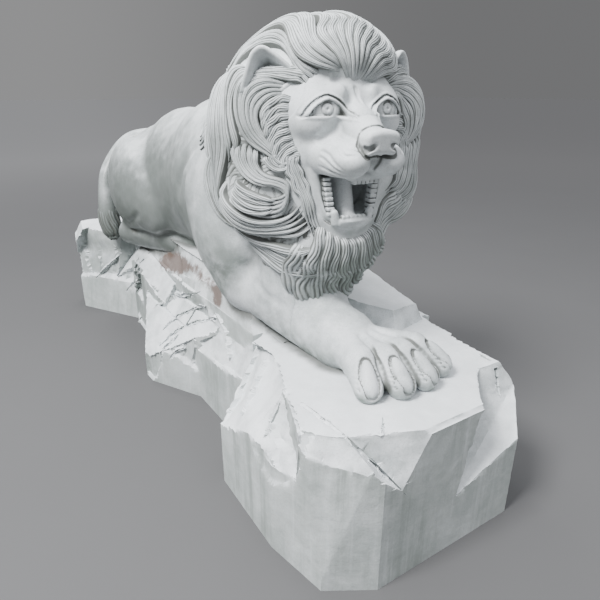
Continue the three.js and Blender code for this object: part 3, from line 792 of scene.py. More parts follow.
class CarvingSettings(bpy.types.PropertyGroup):
    """How finely the statue is carved."""

    coat_cell: length_setting("Coat cell", "Size of the coat's faces", 0.0105, 0.006, 0.04)
    face_cell: length_setting("Face cell", "Size of the face's faces", 0.0029, 0.002, 0.02)
    paw_cell: length_setting("Paw cell", "Size of the paws' faces", 0.004, 0.002, 0.02)
    rock_tile: length_setting("Rock tile", "Twice the size of the rock's faces", 0.0265, 0.01, 0.1)
    strand_depth: length_setting("Strand depth", "Depth of the grooves between strands", 0.006, 0.0, 0.01)


# Places on the mane are sought along lines from here, in the head's directions, from this far out and in so
# many steps.
MANE_MIDDLE = (0.0, -0.12, -0.05)
OUTSIDE = 0.66
SEARCH_STEPS = 40


def on_mane(turn, tilt):
    """Places at a turn round the face from its top and a tilt away from straight ahead, in degrees."""
    a, b = np.radians(turn), np.radians(tilt)
    middle = on_head(*MANE_MIDDLE)
    way = (
        np.multiply.outer(np.sin(b) * np.sin(a), ACROSS)
        + np.multiply.outer(np.cos(b), AHEAD)
        + np.multiply.outer(np.sin(b) * np.cos(a), ABOVE)
    )
    below = np.cos(a) < -0.4
    reach = np.where(below, OUTSIDE - 0.2 * ease(tilt, 40, 80), OUTSIDE)
    for _ in range(SEARCH_STEPS):
        reach = reach - 0.85 * np.clip(mane_base(middle + reach[:, None] * way), -0.05, 0.1)
    return middle + reach[:, None] * way


def other_side(sheaf, locks=None):
    """A sheaf of hair on the head's other side, there with another number of locks if one is given."""
    outer, inner, count, strands = sheaf
    outer, inner = ([(-place[0], *place[1:]) for place in guide] for guide in (outer, inner))
    return outer, inner, locks or count, strands


# A sheaf of hair runs between two guides, each a row of places (turn, tilt, lift in millimetres), and is cut
# into a number of locks with a number of strands each.
EAR_SWIRL = (
    [(-34, 44), (-43, 57), (-50, 65), (-58, 67, 3), (-68, 64, 6), (-78, 59, 6), (-85, 54), (-90, 46),
     (-96, 40), (-100, 35)],
    [(-47, 45), (-54, 49), (-60, 51), (-66, 52), (-71, 51), (-75, 49), (-80, 46), (-85, 42), (-90, 38)],
    6, 5,
)
SWIRL_HEART = (
    [(-46, 43), (-53, 47), (-59, 50), (-66, 50), (-71, 48), (-76, 46), (-80, 43)],
    [(-50, 41), (-56, 43), (-62, 44), (-67, 44), (-71, 43), (-75, 41), (-79, 39)],
    2, 4,
)
EAR_FRONT = (
    [(-24, 40), (-32, 48), (-40, 56), (-47, 66)],
    [(-36, 40), (-42, 50), (-48, 58), (-55, 66)],
    3, 3,
)
BEHIND_SWIRL = (
    [(-44, 77), (-56, 77), (-68, 73), (-78, 70), (-88, 68), (-98, 70)],
    [(-46, 64), (-56, 68), (-66, 67), (-76, 63), (-86, 60), (-94, 62)],
    2, 4,
)
CHEEK_FRINGE = (
    [(-46, 41), (-52, 47), (-61, 50), (-72, 49)],
    [(-90, 25), (-97, 31), (-106, 34), (-116, 34)],
    9, 4,
)
OVER_EAR = (
    [(-4, 35, 2), (-14, 42, 12), (-17, 51, 18), (-12, 61, 22), (-9, 73, 20), (-14, 86, 12), (-24, 94, 6),
     (-34, 98), (-46, 100), (-58, 98)],
    [(-5, 34, 2), (-20, 39, 8), (-27, 45, 12), (-28, 51, 12), (-24, 62, 12), (-21, 74, 10), (-26, 84, 6),
     (-35, 86), (-45, 86), (-57, 85)],
    4, 5,
)
TEMPLE = (
    [(-18, 36), (-27, 44, 6), (-29, 52, 8), (-25, 62, 8), (-24, 72, 8), (-30, 80, 4), (-40, 84), (-52, 83)],
    [(-36, 36), (-34, 44), (-31, 53), (-30, 62), (-33, 70), (-40, 76), (-48, 78), (-57, 77)],
    3, 5,
)
CROWN_BACK = (
    [(-8, 80, 8), (-12, 92, 4), (-22, 104), (-36, 110), (-50, 112), (-62, 110)],
    [(-16, 78, 4), (-20, 88), (-30, 96), (-42, 99), (-54, 99), (-66, 97)],
    4, 4,
)
OUTER_BACK = (
    [(-46, 112, 4), (-58, 114, 8), (-70, 116, 10), (-82, 117, 10), (-92, 116, 8), (-101, 112, 2),
     (-109, 106, -8)],
    [(-46, 97, 4), (-58, 98, 6), (-70, 99, 6), (-82, 101, 6), (-92, 103, 4), (-101, 104), (-108, 101, -8)],
    4, 4,
)
OUTER_FALL = (
    [(-46, 98), (-58, 100), (-70, 100), (-82, 101), (-92, 104), (-100, 108), (-108, 111), (-116, 108),
     (-124, 103), (-132, 96), (-138, 88)],
    [(-46, 76), (-57, 75), (-68, 71), (-78, 68), (-88, 67), (-98, 70), (-108, 75), (-118, 80), (-127, 81),
     (-134, 78)],
    8, 4,
)
CHEEK_CURLS = (
    [(-80, 66), (-89, 66), (-97, 63), (-104, 58), (-110, 51), (-113, 44), (-120, 39), (-128, 40), (-133, 46),
     (-130, 54), (-125, 61)],
    [(-84, 50), (-92, 49), (-98, 49), (-103, 47), (-107, 43), (-111, 38), (-116, 36), (-121, 38), (-121, 43),
     (-118, 48)],
    5, 5,
)
HOOKS = (
    [(-92, 48), (-97, 46), (-102, 43), (-105, 39), (-104, 35), (-100, 34)],
    [(-88, 38), (-92, 39), (-95, 38), (-97, 36), (-97, 34), (-95, 33)],
    3, 3,
)
LEAF = (
    [(-104, 64), (-110, 58), (-115, 52), (-119, 47), (-123, 44)],
    [(-113, 70), (-120, 64), (-125, 58), (-128, 52), (-128, 46)],
    4, 3,
)
LONG_BAND = (
    [(-103, 70), (-112, 72), (-119, 67), (-126, 60), (-131, 53), (-134, 47), (-135, 41), (-133, 35)],
    [(-118, 84), (-124, 82), (-130, 76), (-135, 68), (-139, 60), (-144, 52), (-149, 45), (-153, 38)],
    5, 4,
)
THROAT = (
    [(-128, 84), (-133, 78), (-138, 70), (-143, 61), (-148, 53), (-153, 46), (-158, 40)],
    [(-142, 82), (-147, 76), (-152, 69), (-158, 62), (-163, 56), (-169, 51), (-175, 47)],
    4, 4,
)
MOUTH_SIDE = (
    [(-84, 38), (-91, 36), (-98, 35), (-106, 36), (-113, 34), (-121, 35), (-129, 33), (-138, 35), (-147, 38),
     (-156, 41)],
    [(-86, 29), (-93, 27), (-100, 28), (-108, 26), (-116, 27), (-124, 26), (-132, 28), (-140, 29), (-148, 32),
     (-157, 35)],
    4, 3,
)
BEARD = (
    [(-152, 34), (-156, 39), (-157, 44), (-159, 49), (-165, 54)],
    [(-206, 34), (-208, 39), (-208, 44), (-210, 49), (-216, 54)],
    9, 4,
)
UNDER_BEARD = (
    [(-147, 46), (-151, 51), (-153, 57), (-157, 62), (-163, 67)],
    [(-205, 46), (-207, 51), (-207, 57), (-209, 62), (-214, 67)],
    8, 4,
)
QUIFF_GUIDES = [
    [(-4, 30), (-13, 42, 10), (-16, 51, 14), (-9, 60, 16), (-5, 70, 16), (-7, 82, 10), (-9, 94, 2)],
    [(0, 29), (-2, 42, 12), (3, 50, 20), (10, 58, 22), (9, 68, 20), (4, 80, 12), (3, 94, 2)],
    [(4, 29), (11, 40, 9), (20, 46, 15), (24, 56, 17), (19, 66, 16), (15, 78, 10), (15, 94, 2)],
    [(12, 31), (25, 38, 2), (35, 46, 6), (36, 57, 8), (31, 67, 8), (33, 78, 3), (40, 88)],
]
QUIFF = [(QUIFF_GUIDES[i], QUIFF_GUIDES[i + 1], 4, 5) for i in range(3)]
RIGHT_UNDER_EAR = (
    [(34, 40), (44, 52, 4), (53, 60, 10), (62, 63, 16), (71, 62, 16), (79, 58, 12), (86, 51, 4), (91, 44)],
    [(40, 35), (50, 37), (60, 39, 4), (69, 40, 6), (77, 39, 4), (84, 36), (90, 33)],
    6, 5,
)
RIGHT_CURLS = (
    [(78, 66), (87, 62, 6), (95, 58, 8), (103, 57, 8), (110, 60, 8), (118, 60, 6), (125, 54), (131, 46),
     (136, 40)],
    [(84, 38), (92, 35), (99, 36), (106, 37), (112, 35), (118, 35), (124, 33), (130, 31)],
    6, 5,
)
RIGHT_THROAT = (
    [(112, 68), (122, 64), (130, 58, 4), (138, 52, 4), (146, 47), (154, 45), (162, 47)],
    [(124, 40), (131, 36), (138, 33), (145, 32), (151, 33), (157, 36), (163, 40)],
    5, 4,
)
RIGHT_BACK = (
    [(54, 86), (66, 84), (78, 82), (90, 82), (102, 84), (114, 86), (124, 86)],
    [(50, 62), (62, 64), (74, 64), (86, 64), (98, 64), (110, 66), (122, 68)],
    5, 4,
)
NAPE = (
    [(0, 84), (2, 94), (-2, 104), (1, 114), (0, 124)],
    [(-54, 98), (-50, 106), (-52, 112), (-47, 118), (-46, 124)],
    9, 3,
)
LOW_NAPE = (
    [(0, 112, 8), (3, 122, 8), (-2, 132, 6), (1, 141, 2), (0, 149, -6)],
    [(-56, 110, 6), (-54, 118, 6), (-57, 126, 4), (-54, 133, 1), (-56, 140, -6)],
    9, 3,
)
LOW_SIDE = (
    [(-50, 112, 4), (-63, 118, 6), (-76, 123, 5), (-87, 127, 2), (-96, 130, -6)],
    [(-52, 128, 4), (-62, 133, 5), (-72, 137, 4), (-82, 140, 2), (-90, 142, -6)],
    4, 3,
)
NAPE_SIDE = (
    [(-50, 98), (-61, 102), (-73, 106), (-84, 111), (-93, 117), (-100, 122)],
    [(-44, 116), (-54, 120), (-64, 124), (-74, 128), (-84, 132), (-92, 136)],
    4, 3,
)


def two_sided(sheaf):
    """A sheaf and its match on the head's other side."""
    return [sheaf, other_side(sheaf)]


MANE = {
    "mane_left": [
        EAR_FRONT, BEHIND_SWIRL, EAR_SWIRL, SWIRL_HEART, CHEEK_FRINGE, OUTER_BACK,
        OUTER_FALL, CHEEK_CURLS, HOOKS, LEAF, LONG_BAND, THROAT, MOUTH_SIDE,
        BEARD, UNDER_BEARD,
    ],
    "mane_right": [
        RIGHT_UNDER_EAR, RIGHT_CURLS, RIGHT_THROAT, RIGHT_BACK,
        other_side(CHEEK_FRINGE), other_side(EAR_FRONT), other_side(OUTER_FALL, locks=6), other_side(THROAT),
    ],
    "mane_crown": [
        OVER_EAR, TEMPLE, CROWN_BACK, *QUIFF, other_side(CROWN_BACK),
        *two_sided(NAPE), *two_sided(NAPE_SIDE), *two_sided(LOW_NAPE), *two_sided(LOW_SIDE),
    ],
}
# The undercoat's lift in millimetres, and its rows: the tilt each starts at, how far its locks run, and from
# which turn to which they stand.
UNDERCOAT_LIFT = -11
UNDERCOAT = [
    (36, 18, 92, 165), (46, 20, 44, 172), (60, 18, 34, 152),
    (72, 18, 4, 126), (86, 18, 4, 112), (100, 16, 4, 100),
]


def undercoat():
    """Plainer locks that lie under the sheaves, in rows, and leave no stone bare between them."""
    sheaves = []
    for side in (-1, 1):
        for row, (tilt, run, first, last) in enumerate(UNDERCOAT):
            count = int((last - first) * math.sin(math.radians(min(tilt + 8, 90))) / 8)
            for k in range(count):
                turn = first + (last - first) * (k + 0.5 + 0.3 * (row % 2)) / count
                step = (last - first) / count * 0.62
                drift = 10 * math.sin(math.radians(turn)) + (4 if k % 2 else -2)
                guide = [(turn, tilt - 3), (turn + drift * 0.2, tilt + run * 0.35),
                         (turn + drift, tilt + run * 0.7), (turn + drift * 1.1, tilt + run + 3)]
                near = [(side * (a - step), b, UNDERCOAT_LIFT) for a, b in guide]
                far = [(side * (a + step), b, UNDERCOAT_LIFT) for a, b in guide]
                sheaves.append((near, far, 1, 3))
    return sheaves


# How many places a lock's path has, how many steps its ribbon, and how deep its underside lies in the stone.
PLACES = 15
STEPS = 40
LOCK_SINK = 0.022


def lock_paths(sheaves):
    """The paths of the sheaves' locks: middle line, way out of the lion, half width, strands and lift."""
    grids = []
    for outer, inner, locks, strands in sheaves:
        outer, inner = (
            spline(np.array([(*place, 0)[:3] for place in guide], float), PLACES) for guide in (outer, inner)
        )
        share = np.arange(locks + 1)[:, None, None] / locks
        grids.append(outer * (1 - share) + inner * share)
    flat = np.concatenate([grid.reshape(-1, 3) for grid in grids])
    places = on_mane(flat[:, 0], flat[:, 1])
    out = unit(slope(mane_base, places, 0.01))
    places = places + out * flat[:, 2:3] / 1000
    paths = []
    start = 0
    for grid, (outer, inner, locks, strands) in zip(grids, sheaves):
        count = (locks + 1) * PLACES
        edges = places[start : start + count].reshape(-1, PLACES, 3)
        ways = out[start : start + count].reshape(-1, PLACES, 3)
        start += count
        for k in range(locks):
            half = np.linalg.norm(edges[k + 1] - edges[k], axis=1) / 2
            lift = np.maximum(grid[k, :, 2], 0) / 1000
            paths.append(((edges[k] + edges[k + 1]) / 2, ways[k] + ways[k + 1], half, strands, lift))
    return paths


def lock_mesh(path, depth, chance, steps=STEPS, crowned=0.55, base=0.006):
    """One lock of hair: a crowned ribbon of strands that thins to its tip, closed underneath.

    Depth is how deep the grooves between strands are, crowned how far the lock bulges for its width, and base
    how far it stands off what it lies on.
    """
    middle, out, half, strands, lift = path
    sink = (LOCK_SINK + spline(lift[:, None], steps))[:, :1]
    line = spline(middle, steps)
    out = unit(spline(out, steps))
    half = np.maximum(spline(half[:, None], steps)[:, 0], 0.005) * (1.12 + 0.12 * chance.random())
    along = unit(np.gradient(line, axis=0))
    side = unit(np.cross(out, along))
    t = np.linspace(0, 1, steps)
    taper = (0.6 + 0.4 * ease(t, 0, 0.14)) * (1 - 0.9 * ease(t, 0.72, 1.02))
    half = half * taper
    wander = 0.25 * np.sin(2 * np.pi * (t * (1.1 + chance.random()) + chance.random()))
    rise = ease(t, -0.02, 0.16) - 0.8 * ease(t, 0.8, 1)
    height = (np.minimum(half * crowned, 0.031 * crowned) + base * (0.5 + 1.2 * chance.random())) * rise
    out_of_root = 0.012 * (1 - ease(t, 0, 0.12))
    line = line - out * out_of_root[:, None]
    lean = 0.3 * (chance.random() - 0.5)
    across = np.linspace(-1, 1, strands * 4 + 1)
    crown = np.sqrt(np.maximum(1 - across**2 * 0.96, 0))
    plain = base < 0.003
    shoulder = 0.0 if plain else 0.35
    swayed = across[None] + 1 + wander[:, None] * (1 - across[None] ** 2)
    fine = np.abs(np.sin(np.pi * strands * swayed / 2)) ** 0.8
    groove = depth * np.minimum(1, half / (0.0052 * strands))[:, None] * (fine - 1)
    top = height[:, None] * crown[None] * (1 + lean * across[None]) + groove
    edge = np.abs(across) > 0.99
    top[:, edge] = (height[:, None] - sink) * shoulder - 0.004
    points = line[:, None] + side[:, None] * (across[None] * half[:, None])[..., None]
    points = points + out[:, None] * top[..., None]
    under = [line + side * (v * 0.9 * half)[:, None] - out * sink for v in (1, -1)]
    points = np.concatenate((points, np.stack(under, 1)), 1)
    # Painted shade with grime: darker in the grooves between strands and at the lock's edges, darker all over
    # on the plainer undercoat under the sheaves, and darkest on the hidden underside.
    dark = (1 - fine) ** 0.7 + 0.9 * np.abs(across[None]) ** 4 + (0.35 if plain else 0.0)
    grime = np.concatenate((dark, np.ones((steps, 2))), 1)
    count = points.shape[1]
    return points.reshape(-1, 3), tube(count, steps)[:, ::-1], np.clip(grime, 0, 1).ravel(), count


def close_ends(points, faces, grime, count):
    """Closes both ends of a lock with fans of small faces round a middle point."""
    total = len(points)
    ring = np.arange(count)
    after = np.roll(ring, -1)
    last = total - count
    middles = np.stack((points[:count].mean(0), points[last:].mean(0)))
    points = np.concatenate((points, middles))
    # The ends' middle points are half dark, as painted shade with grime.
    grime = np.concatenate((grime, (0.5, 0.5)))
    start = [(total, int(a), int(b)) for a, b in zip(after, ring)]
    end = [(total + 1, last + int(a), last + int(b)) for a, b in zip(ring, after)]
    return points, faces.tolist() + [f[::-1] for f in start + end], grime


def lay_locks(name, paths, depth, chance, **shape):
    """Makes one piece of the locks that follow the paths."""
    points, faces, grime = [], [], []
    start = 0
    for path in paths:
        p, f, g = close_ends(*lock_mesh(path, depth, chance, **shape))
        points.append(p)
        faces += [tuple(start + i for i in face) for face in f]
        grime.append(g)
        start += len(p)
    add_piece(name, np.concatenate(points), faces, {"grime": np.concatenate(grime)})


class STATUE_OT_coat(bpy.types.Operator):
    """Carve the lion's body and coat"""

    bl_idname = "statue.coat"
    bl_label = "Carve coat"

    def execute(self, context):
        cell = context.scene.carving.coat_cell
        coat = sculpt("lion_coat", coat_field(), (-0.5, -1.1, 0.3), (0.55, 1.2, 1.36), cell)
        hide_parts("marble_lion")
        return {"FINISHED"}


class STATUE_OT_face(bpy.types.Operator):
    """Carve the lion's face"""

    bl_idname = "statue.face"
    bl_label = "Carve face"

    def execute(self, context):
        cell = context.scene.carving.face_cell
        middle = on_head(*FACE_HEART)
        sculpt("lion_face", face_field(), middle - 0.24, middle + (0.24, 0.24, 0.24), cell)
        return {"FINISHED"}


class STATUE_OT_paws(bpy.types.Operator):
    """Carve the two forepaws with their toes and claws"""

    bl_idname = "statue.paws"
    bl_label = "Carve forepaws"

    def execute(self, context):
        cell = context.scene.carving.paw_cell

        def right(p, paw=paw_field(RIGHT_PAW, [FORELEGS[1]])):
            with_leg = np.minimum(paw(p), np.maximum(worn(p), -0.7 - p[:, 1]))
            return np.maximum(with_leg, np.maximum(p[:, 1] - RIGHT_PAW_START, p[:, 2] - 0.6))

        def left(p, paw=paw_field(LEFT_PAW, [FORELEGS[3]])):
            return np.maximum(np.maximum(paw(p), p[:, 1] - LEFT_PAW_START), 0.17 - p[:, 0])

        sculpt("right_forepaw", right, (-0.16, -1.06, 0.355), (0.26, -0.59, 0.62), cell)
        sculpt("left_forepaw", left, (0.12, -0.52, 0.355), (0.42, -0.2, 0.6), cell * 1.3)
        return {"FINISHED"}


class STATUE_OT_mane(bpy.types.Operator):
    """Carve the lion's mane, lock by lock"""

    bl_idname = "statue.mane"
    bl_label = "Carve mane"

    def execute(self, context):
        depth = context.scene.carving.strand_depth
        chance = np.random.default_rng(7)
        for name, sheaves in MANE.items():
            lay_locks(name, lock_paths(sheaves), depth, chance)
        lay_locks("mane_undercoat", lock_paths(undercoat()), depth, chance, steps=22, crowned=0.2, base=0.001)
        return {"FINISHED"}


# The ear's rim, as places across, ahead and above in millimetres, and the way its bowl faces.
EAR_RIM = [
    (104, 84, 108), (128, 76, 138), (156, 62, 164), (188, 40, 184),
    (212, 28, 168), (226, 24, 130), (238, 14, 78),
]
EAR_FACING = (0.54, 0.8, 0.24)
# Rings of the ear from its back, over its rim and down its bowl: how far each is drawn in, and how far it
# lies ahead in millimetres.
EAR_RINGS = [
    (0.62, -62), (0.86, -40), (1.0, -16), (1.03, -4), (0.99, 4), (0.9, 7),
    (0.8, 6), (0.71, 0), (0.62, -14), (0.48, -28), (0.28, -36),
]


class STATUE_OT_ears(bpy.types.Operator):
    """Carve the two ears: a broad rim round a hollow"""

    bl_idname = "statue.ears"
    bl_label = "Carve ears"

    def execute(self, context):
        arc = spline(EAR_RIM, 33)
        base = arc[-1] + (arc[0] - arc[-1]) * np.linspace(0, 1, 14)[1:-1, None]
        base[:, 2] -= 22 * np.sin(np.linspace(0, np.pi, 12))
        rim = np.vstack((arc, base))
        middle = rim.mean(0) + (0, 0, 4)
        facing = np.array(EAR_FACING) / np.linalg.norm(EAR_FACING)
        rings = [middle + (rim - middle) * drawn + facing * back for drawn, back in EAR_RINGS]
        count = len(rim)
        faces = tube(count, len(rings)).tolist()
        faces += [list(range(count))[::-1], [(len(rings) - 1) * count + i for i in range(count)]]
        for side, name in ((-1, "right_ear"), (1, "left_ear")):
            points = np.vstack(rings) * (side, 1, 1) / 1000
            turned = [face[::-1] if side > 0 else face for face in faces]
            ear = add_piece(name, on_head(*points.T), turned)
            smooth = ear.modifiers.new("smooth", "SUBSURF")
            smooth.levels = smooth.render_levels = 1
            apply_all(ear)
            s, f, u = in_head(read(ear.data, "co") - PLACE)
            # Darker the deeper a point lies in the bowl: grime and painted shade in the ear's hollow.
            deep = (middle - np.array((side * s, f, u)).T * 1000) @ facing
            mark(ear.data, "grime", ease(deep, 6, 40) * 0.9)
        return {"FINISHED"}


# The middle lines of the tail and of its tuft, and how far from it the tuft's locks lie, all in millimetres.
TAIL = [
    (40, 900, 880), (-65, 935, 865), (-150, 935, 800), (-215, 910, 700), (-232, 880, 560), (-220, 880, 420),
]
TUFT = [(-231, 884, 590), (-231, 880, 520), (-226, 878, 460), (-222, 878, 405)]
TUFT_REACH = (24, 31, 36, 38, 38, 36, 32, 26, 18)
TUFT_LOCKS = 7
TUFT_HALF_WIDTH = 0.0165


class STATUE_OT_tail(bpy.types.Operator):
    """Carve the tail that lies round the haunch, with the tuft at its end"""

    bl_idname = "statue.tail"
    bl_label = "Carve tail"

    def execute(self, context):
        curve = bpy.data.curves.new("tail", "CURVE")
        curve.dimensions = "3D"
        curve.bevel_depth = 1.0
        curve.bevel_resolution = 5
        curve.use_fill_caps = True
        line = spline(np.array(TAIL) / 1000 + PLACE, 60)
        strand = curve.splines.new("POLY")
        strand.points.add(len(line) - 1)
        for i, point in enumerate(line):
            t = i / (len(line) - 1)
            strand.points[i].co = (*point, 1)
            swell = math.sin(math.pi * ease(t, 0.62, 1.05))
            strand.points[i].radius = 0.046 - 0.014 * ease(t, 0, 0.5) + 0.012 * swell
        tail = bpy.data.objects.new("tail", curve)
        context.collection.objects.link(tail)
        only(tail)
        bpy.ops.object.convert(target="MESH")
        tail = context.active_object
        tail.name = tail.data.name = "tail"
        tail.data.shade_smooth()
        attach(tail, "root")
        self.tuft()
        return {"FINISHED"}

    def tuft(self):
        """Locks that swirl round the tail's end."""
        count = len(TUFT_REACH)
        centre = spline(np.array(TUFT) / 1000, count)
        reach = np.array(TUFT_REACH) / 1000
        paths = []
        for k in range(TUFT_LOCKS):
            turn = 2 * math.pi * k / TUFT_LOCKS + np.linspace(0, 0.9, count)
            out = np.stack((np.cos(turn), np.sin(turn), np.zeros(count)), 1)
            line = centre + out * reach[:, None]
            paths.append((line, out, np.full(count, TUFT_HALF_WIDTH), 3, np.zeros(count)))
        lay_locks("tail_tuft", paths, 0.005, np.random.default_rng(11), steps=24, crowned=0.4, base=0.004)


# A boulder is the hull of its outline at the ground, at its foot and, drawn in, at its top; lean raises the
# foot and the top along x and y. A cut is where a flat chisel cut starts, which way its face looks and how
# far it reaches. A notch is given by its corners. All are in millimetres.
FRONT_NOTCHES = [
    [(-235, -840, 399), (-205, -740, 405), (-302, -738, 280), (-301, -880, 248), (-278, -938, 276),
     (-280, -953, 400), (-400, -738, 280), (-400, -880, 246), (-370, -938, 276), (-370, -953, 430),
     (-400, -738, 430), (-235, -840, 440), (-205, -740, 440)],
    [(-197, -1003, 399), (-12, -1090, 399), (-86, -1100, 250), (-150, -1160, 276), (-197, -1003, 460),
     (-12, -1090, 460), (-150, -1160, 460), (-10, -1160, 300), (-10, -1160, 460)],
    [(159, -1072, 400), (289, -953, 400), (88, -1086, 165), (300, -1082, 240), (400, -990, 340),
     (150, -1180, 440), (289, -953, 440), (88, -1160, 165), (320, -1180, 240), (480, -1100, 300),
     (480, -950, 440)],
]
BOULDERS = [
    ([(-300, -560), (-300, -850), (-264, -1022), (-150, -1090), (310, -1085), (388, -1000), (450, -700),
      (430, -480), (-40, -420)], 388, 397, 12, (0, 0),
     [((-258, -620, 280), (-0.73, 0.26, 0.63), 165), ((-262, -1002, 200), (-0.72, -0.69, 0.09), 205),
      ((-232, -985, 386), (-0.6, -0.67, 0.45), 110), ((430, -800, 330), (1, -0.15, 0.7), 190)],
     FRONT_NOTCHES),
    ([(90, -560), (240, -700), (420, -660), (450, -480), (420, -260), (120, -260)], 360, 480, 60,
     (-0.1, 0.12), [], []),
    ([(-306, 190), (-302, 130), (-205, -8), (-135, -170), (100, -200), (100, 600), (-140, 640), (-235, 330)],
     380, 395, 20, (0, 0),
     [((-150, 200, 290), (-0.768, 0, 0.64), 480), ((-139, -160, 130), (-0.25, -0.87, 0.42), 130)], []),
    ([(-345, 1245), (-372, 1105), (-322, 1080), (-208, 893), (-145, 650), (150, 600), (380, 700), (400, 1010),
      (260, 1230), (-100, 1280)], 345, 412, 45, (0, 0.12),
     [((-253, 965, 145), (-0.84, -0.52, 0.14), 270), ((-165, 770, 240), (-0.75, -0.1, 0.65), 160)], []),
    ([(-170, -600), (-150, 200), (-195, 430), (-180, 760), (250, 760), (400, 300), (390, -500)], 330, 398, 40,
     (0, 0), [((-140, -300, 290), (-0.85, 0.05, 0.53), 330), ((-165, 440, 325), (-0.8, -0.05, 0.6), 330),
               ((-150, 20, 300), (-0.8, 0, 0.6), 240)], []),
    ([(-125, -430), (-140, 300), (-120, 900), (200, 920), (220, 300), (250, -450)], 385, 500, 95,
     (0, 0), [], []),
    ([(380, -330), (450, -120), (440, 160), (330, 330), (100, 200), (100, -300)], 250, 395, 90, (-0.2, 0),
     [((395, 120, 300), (1, 0.15, 0.7), 200)], []),
    ([(300, 280), (420, 420), (400, 760), (300, 860), (100, 700), (100, 300)], 270, 400, 80, (-0.15, 0),
     [((385, 560, 300), (1, 0.1, 0.9), 190)], []),
]
BACK_CUTS = [((380, 980, 320), (1, 0.5, 0.7), 200), ((40, 1255, 350), (0.2, 1, 0.6), 220)]
# A crack is a line over the rock, how wide it is and how deep, in millimetres.
CRACKS = [
    ([(-206, -842, 397), (-197, -925, 397), (-193, -1000, 397)], 5, 8),
    ([(-195, -1004, 392), (-140, -1052, 322), (-86, -1100, 250)], 9, 16),
    ([(-122, -1038, 397), (-96, -1012, 397), (-80, -990, 397)], 6, 6),
    ([(-273, 88, 100), (-240, 78, 150), (-203, 48, 200)], 9, 10),
    ([(-263, 119, 150), (-226, 92, 205), (-183, 35, 250), (-148, -50, 300), (-116, -138, 340)], 9, 9),
    ([(-225, 165, 185), (-186, 130, 250), (-140, 40, 315), (-105, -60, 355)], 8, 8),
    ([(-178, 345, 200), (-145, 310, 250), (-100, 240, 280), (-85, 100, 350), (-82, -21, 390)], 8, 8),
    ([(-262, 40, 120), (-232, 20, 165), (-205, -20, 190)], 6, 6),
    ([(-306, 1055, 165), (-270, 1000, 230), (-225, 925, 300)], 10, 12),
    ([(-200, 875, 125), (-175, 800, 220), (-140, 690, 320)], 12, 14),
    ([(-172, 760, 180), (-150, 700, 260), (-120, 620, 340)], 10, 12),
    ([(-262, -640, 260), (-230, -600, 320), (-170, -560, 385)], 14, 9),
    ([(-285, -790, 300), (-250, -770, 345), (-205, -770, 395)], 14, 9),
    ([(-140, -300, 250), (-150, -240, 300), (-120, -150, 360)], 12, 10),
    ([(330, -1020, 330), (345, -960, 380), (352, -900, 395)], 10, 12),
]
# A scoop is where its middle lies on the rock, how wide it is and how deep, in millimetres.
SCOOPS = [
    ((-205, -655, 372), 120, 15), ((-262, -610, 250), 90, 9), ((-255, -800, 330), 62, 8),
    ((-262, -905, 310), 45, 6), ((-150, 250, 290), 120, 12), ((-160, -300, 300), 120, 12),
    ((-250, 1000, 345), 90, 10), ((-165, 800, 250), 120, 12), ((-300, 1130, 330), 70, 9),
    ((-160, 470, 320), 110, 12), ((400, -820, 350), 130, 12), ((420, -450, 300), 150, 14),
    ((400, 60, 300), 150, 15), ((380, 520, 300), 150, 15), ((360, 960, 330), 140, 14),
    ((60, 1240, 350), 150, 14), ((200, -1085, 320), 90, 5), ((280, -500, 440), 110, 10),
]
# The line along which soil has settled between the lion and the rock, in metres.
DIRT = np.array(
    [(-170, 500, 400), (-125, 420, 404), (-112, 300, 412), (-106, 100, 414), (-112, -130, 408)]
) / 1000


def placed(corners):
    """Where corners given in millimetres lie on the part."""
    return np.asarray(corners, float) / 1000 + PLACE


def hull(corners):
    """A block of stone, as the hull of its corners."""
    mesh = bpy.data.meshes.new("block")
    mesh.from_pydata(np.asarray(corners).tolist(), [], [])
    piece = bpy.data.objects.new("block", mesh)
    bpy.context.collection.objects.link(piece)
    only(piece)
    bpy.ops.object.mode_set(mode="EDIT")
    bpy.ops.mesh.select_all(action="SELECT")
    bpy.ops.mesh.convex_hull(join_triangles=False)
    bpy.ops.mesh.select_all(action="SELECT")
    bpy.ops.mesh.normals_make_consistent(inside=False)
    bpy.ops.object.mode_set(mode="OBJECT")
    return piece


def chip(point, outward, reach):
    """The block of stone that a flat chisel cut takes off: a cube that stands on the cut."""
    turn = Vector((0, 0, 1)).rotation_difference(Vector(outward))
    sides = (-reach, reach)
    corners = [turn @ Vector((x, y, z)) for x in sides for y in sides for z in (0, 2 * reach)]
    return hull(placed(np.array(corners) + point))


def combine(stone, blocks, how):
    """Takes blocks off a stone, or joins them to it."""
    for block in blocks:
        step = stone.modifiers.new(how, "BOOLEAN")
        step.operation = how
        step.solver = "MANIFOLD"
        step.object = block
    apply_all(stone)
    for block in blocks:
        bpy.data.objects.remove(block)


def hewn(outline, foot, top, inset, lean, cuts, notches):
    """One boulder with its flat cuts and its notches."""
    outline = np.array(outline, float)
    away = outline - outline.mean(0)
    rise = away @ np.array(lean)
    drawn = outline - away * (inset / np.linalg.norm(away, axis=1))[:, None]
    corners = [(x, y, 0) for x, y in outline]
    corners += [(x, y, max(foot + r, 40)) for (x, y), r in zip(outline, rise)]
    corners += [(x, y, top + r) for (x, y), r in zip(drawn, rise)]
    stone = hull(placed(corners))
    combine(stone, [chip(*cut) for cut in cuts] + [hull(placed(notch)) for notch in notches], "DIFFERENCE")
    return stone


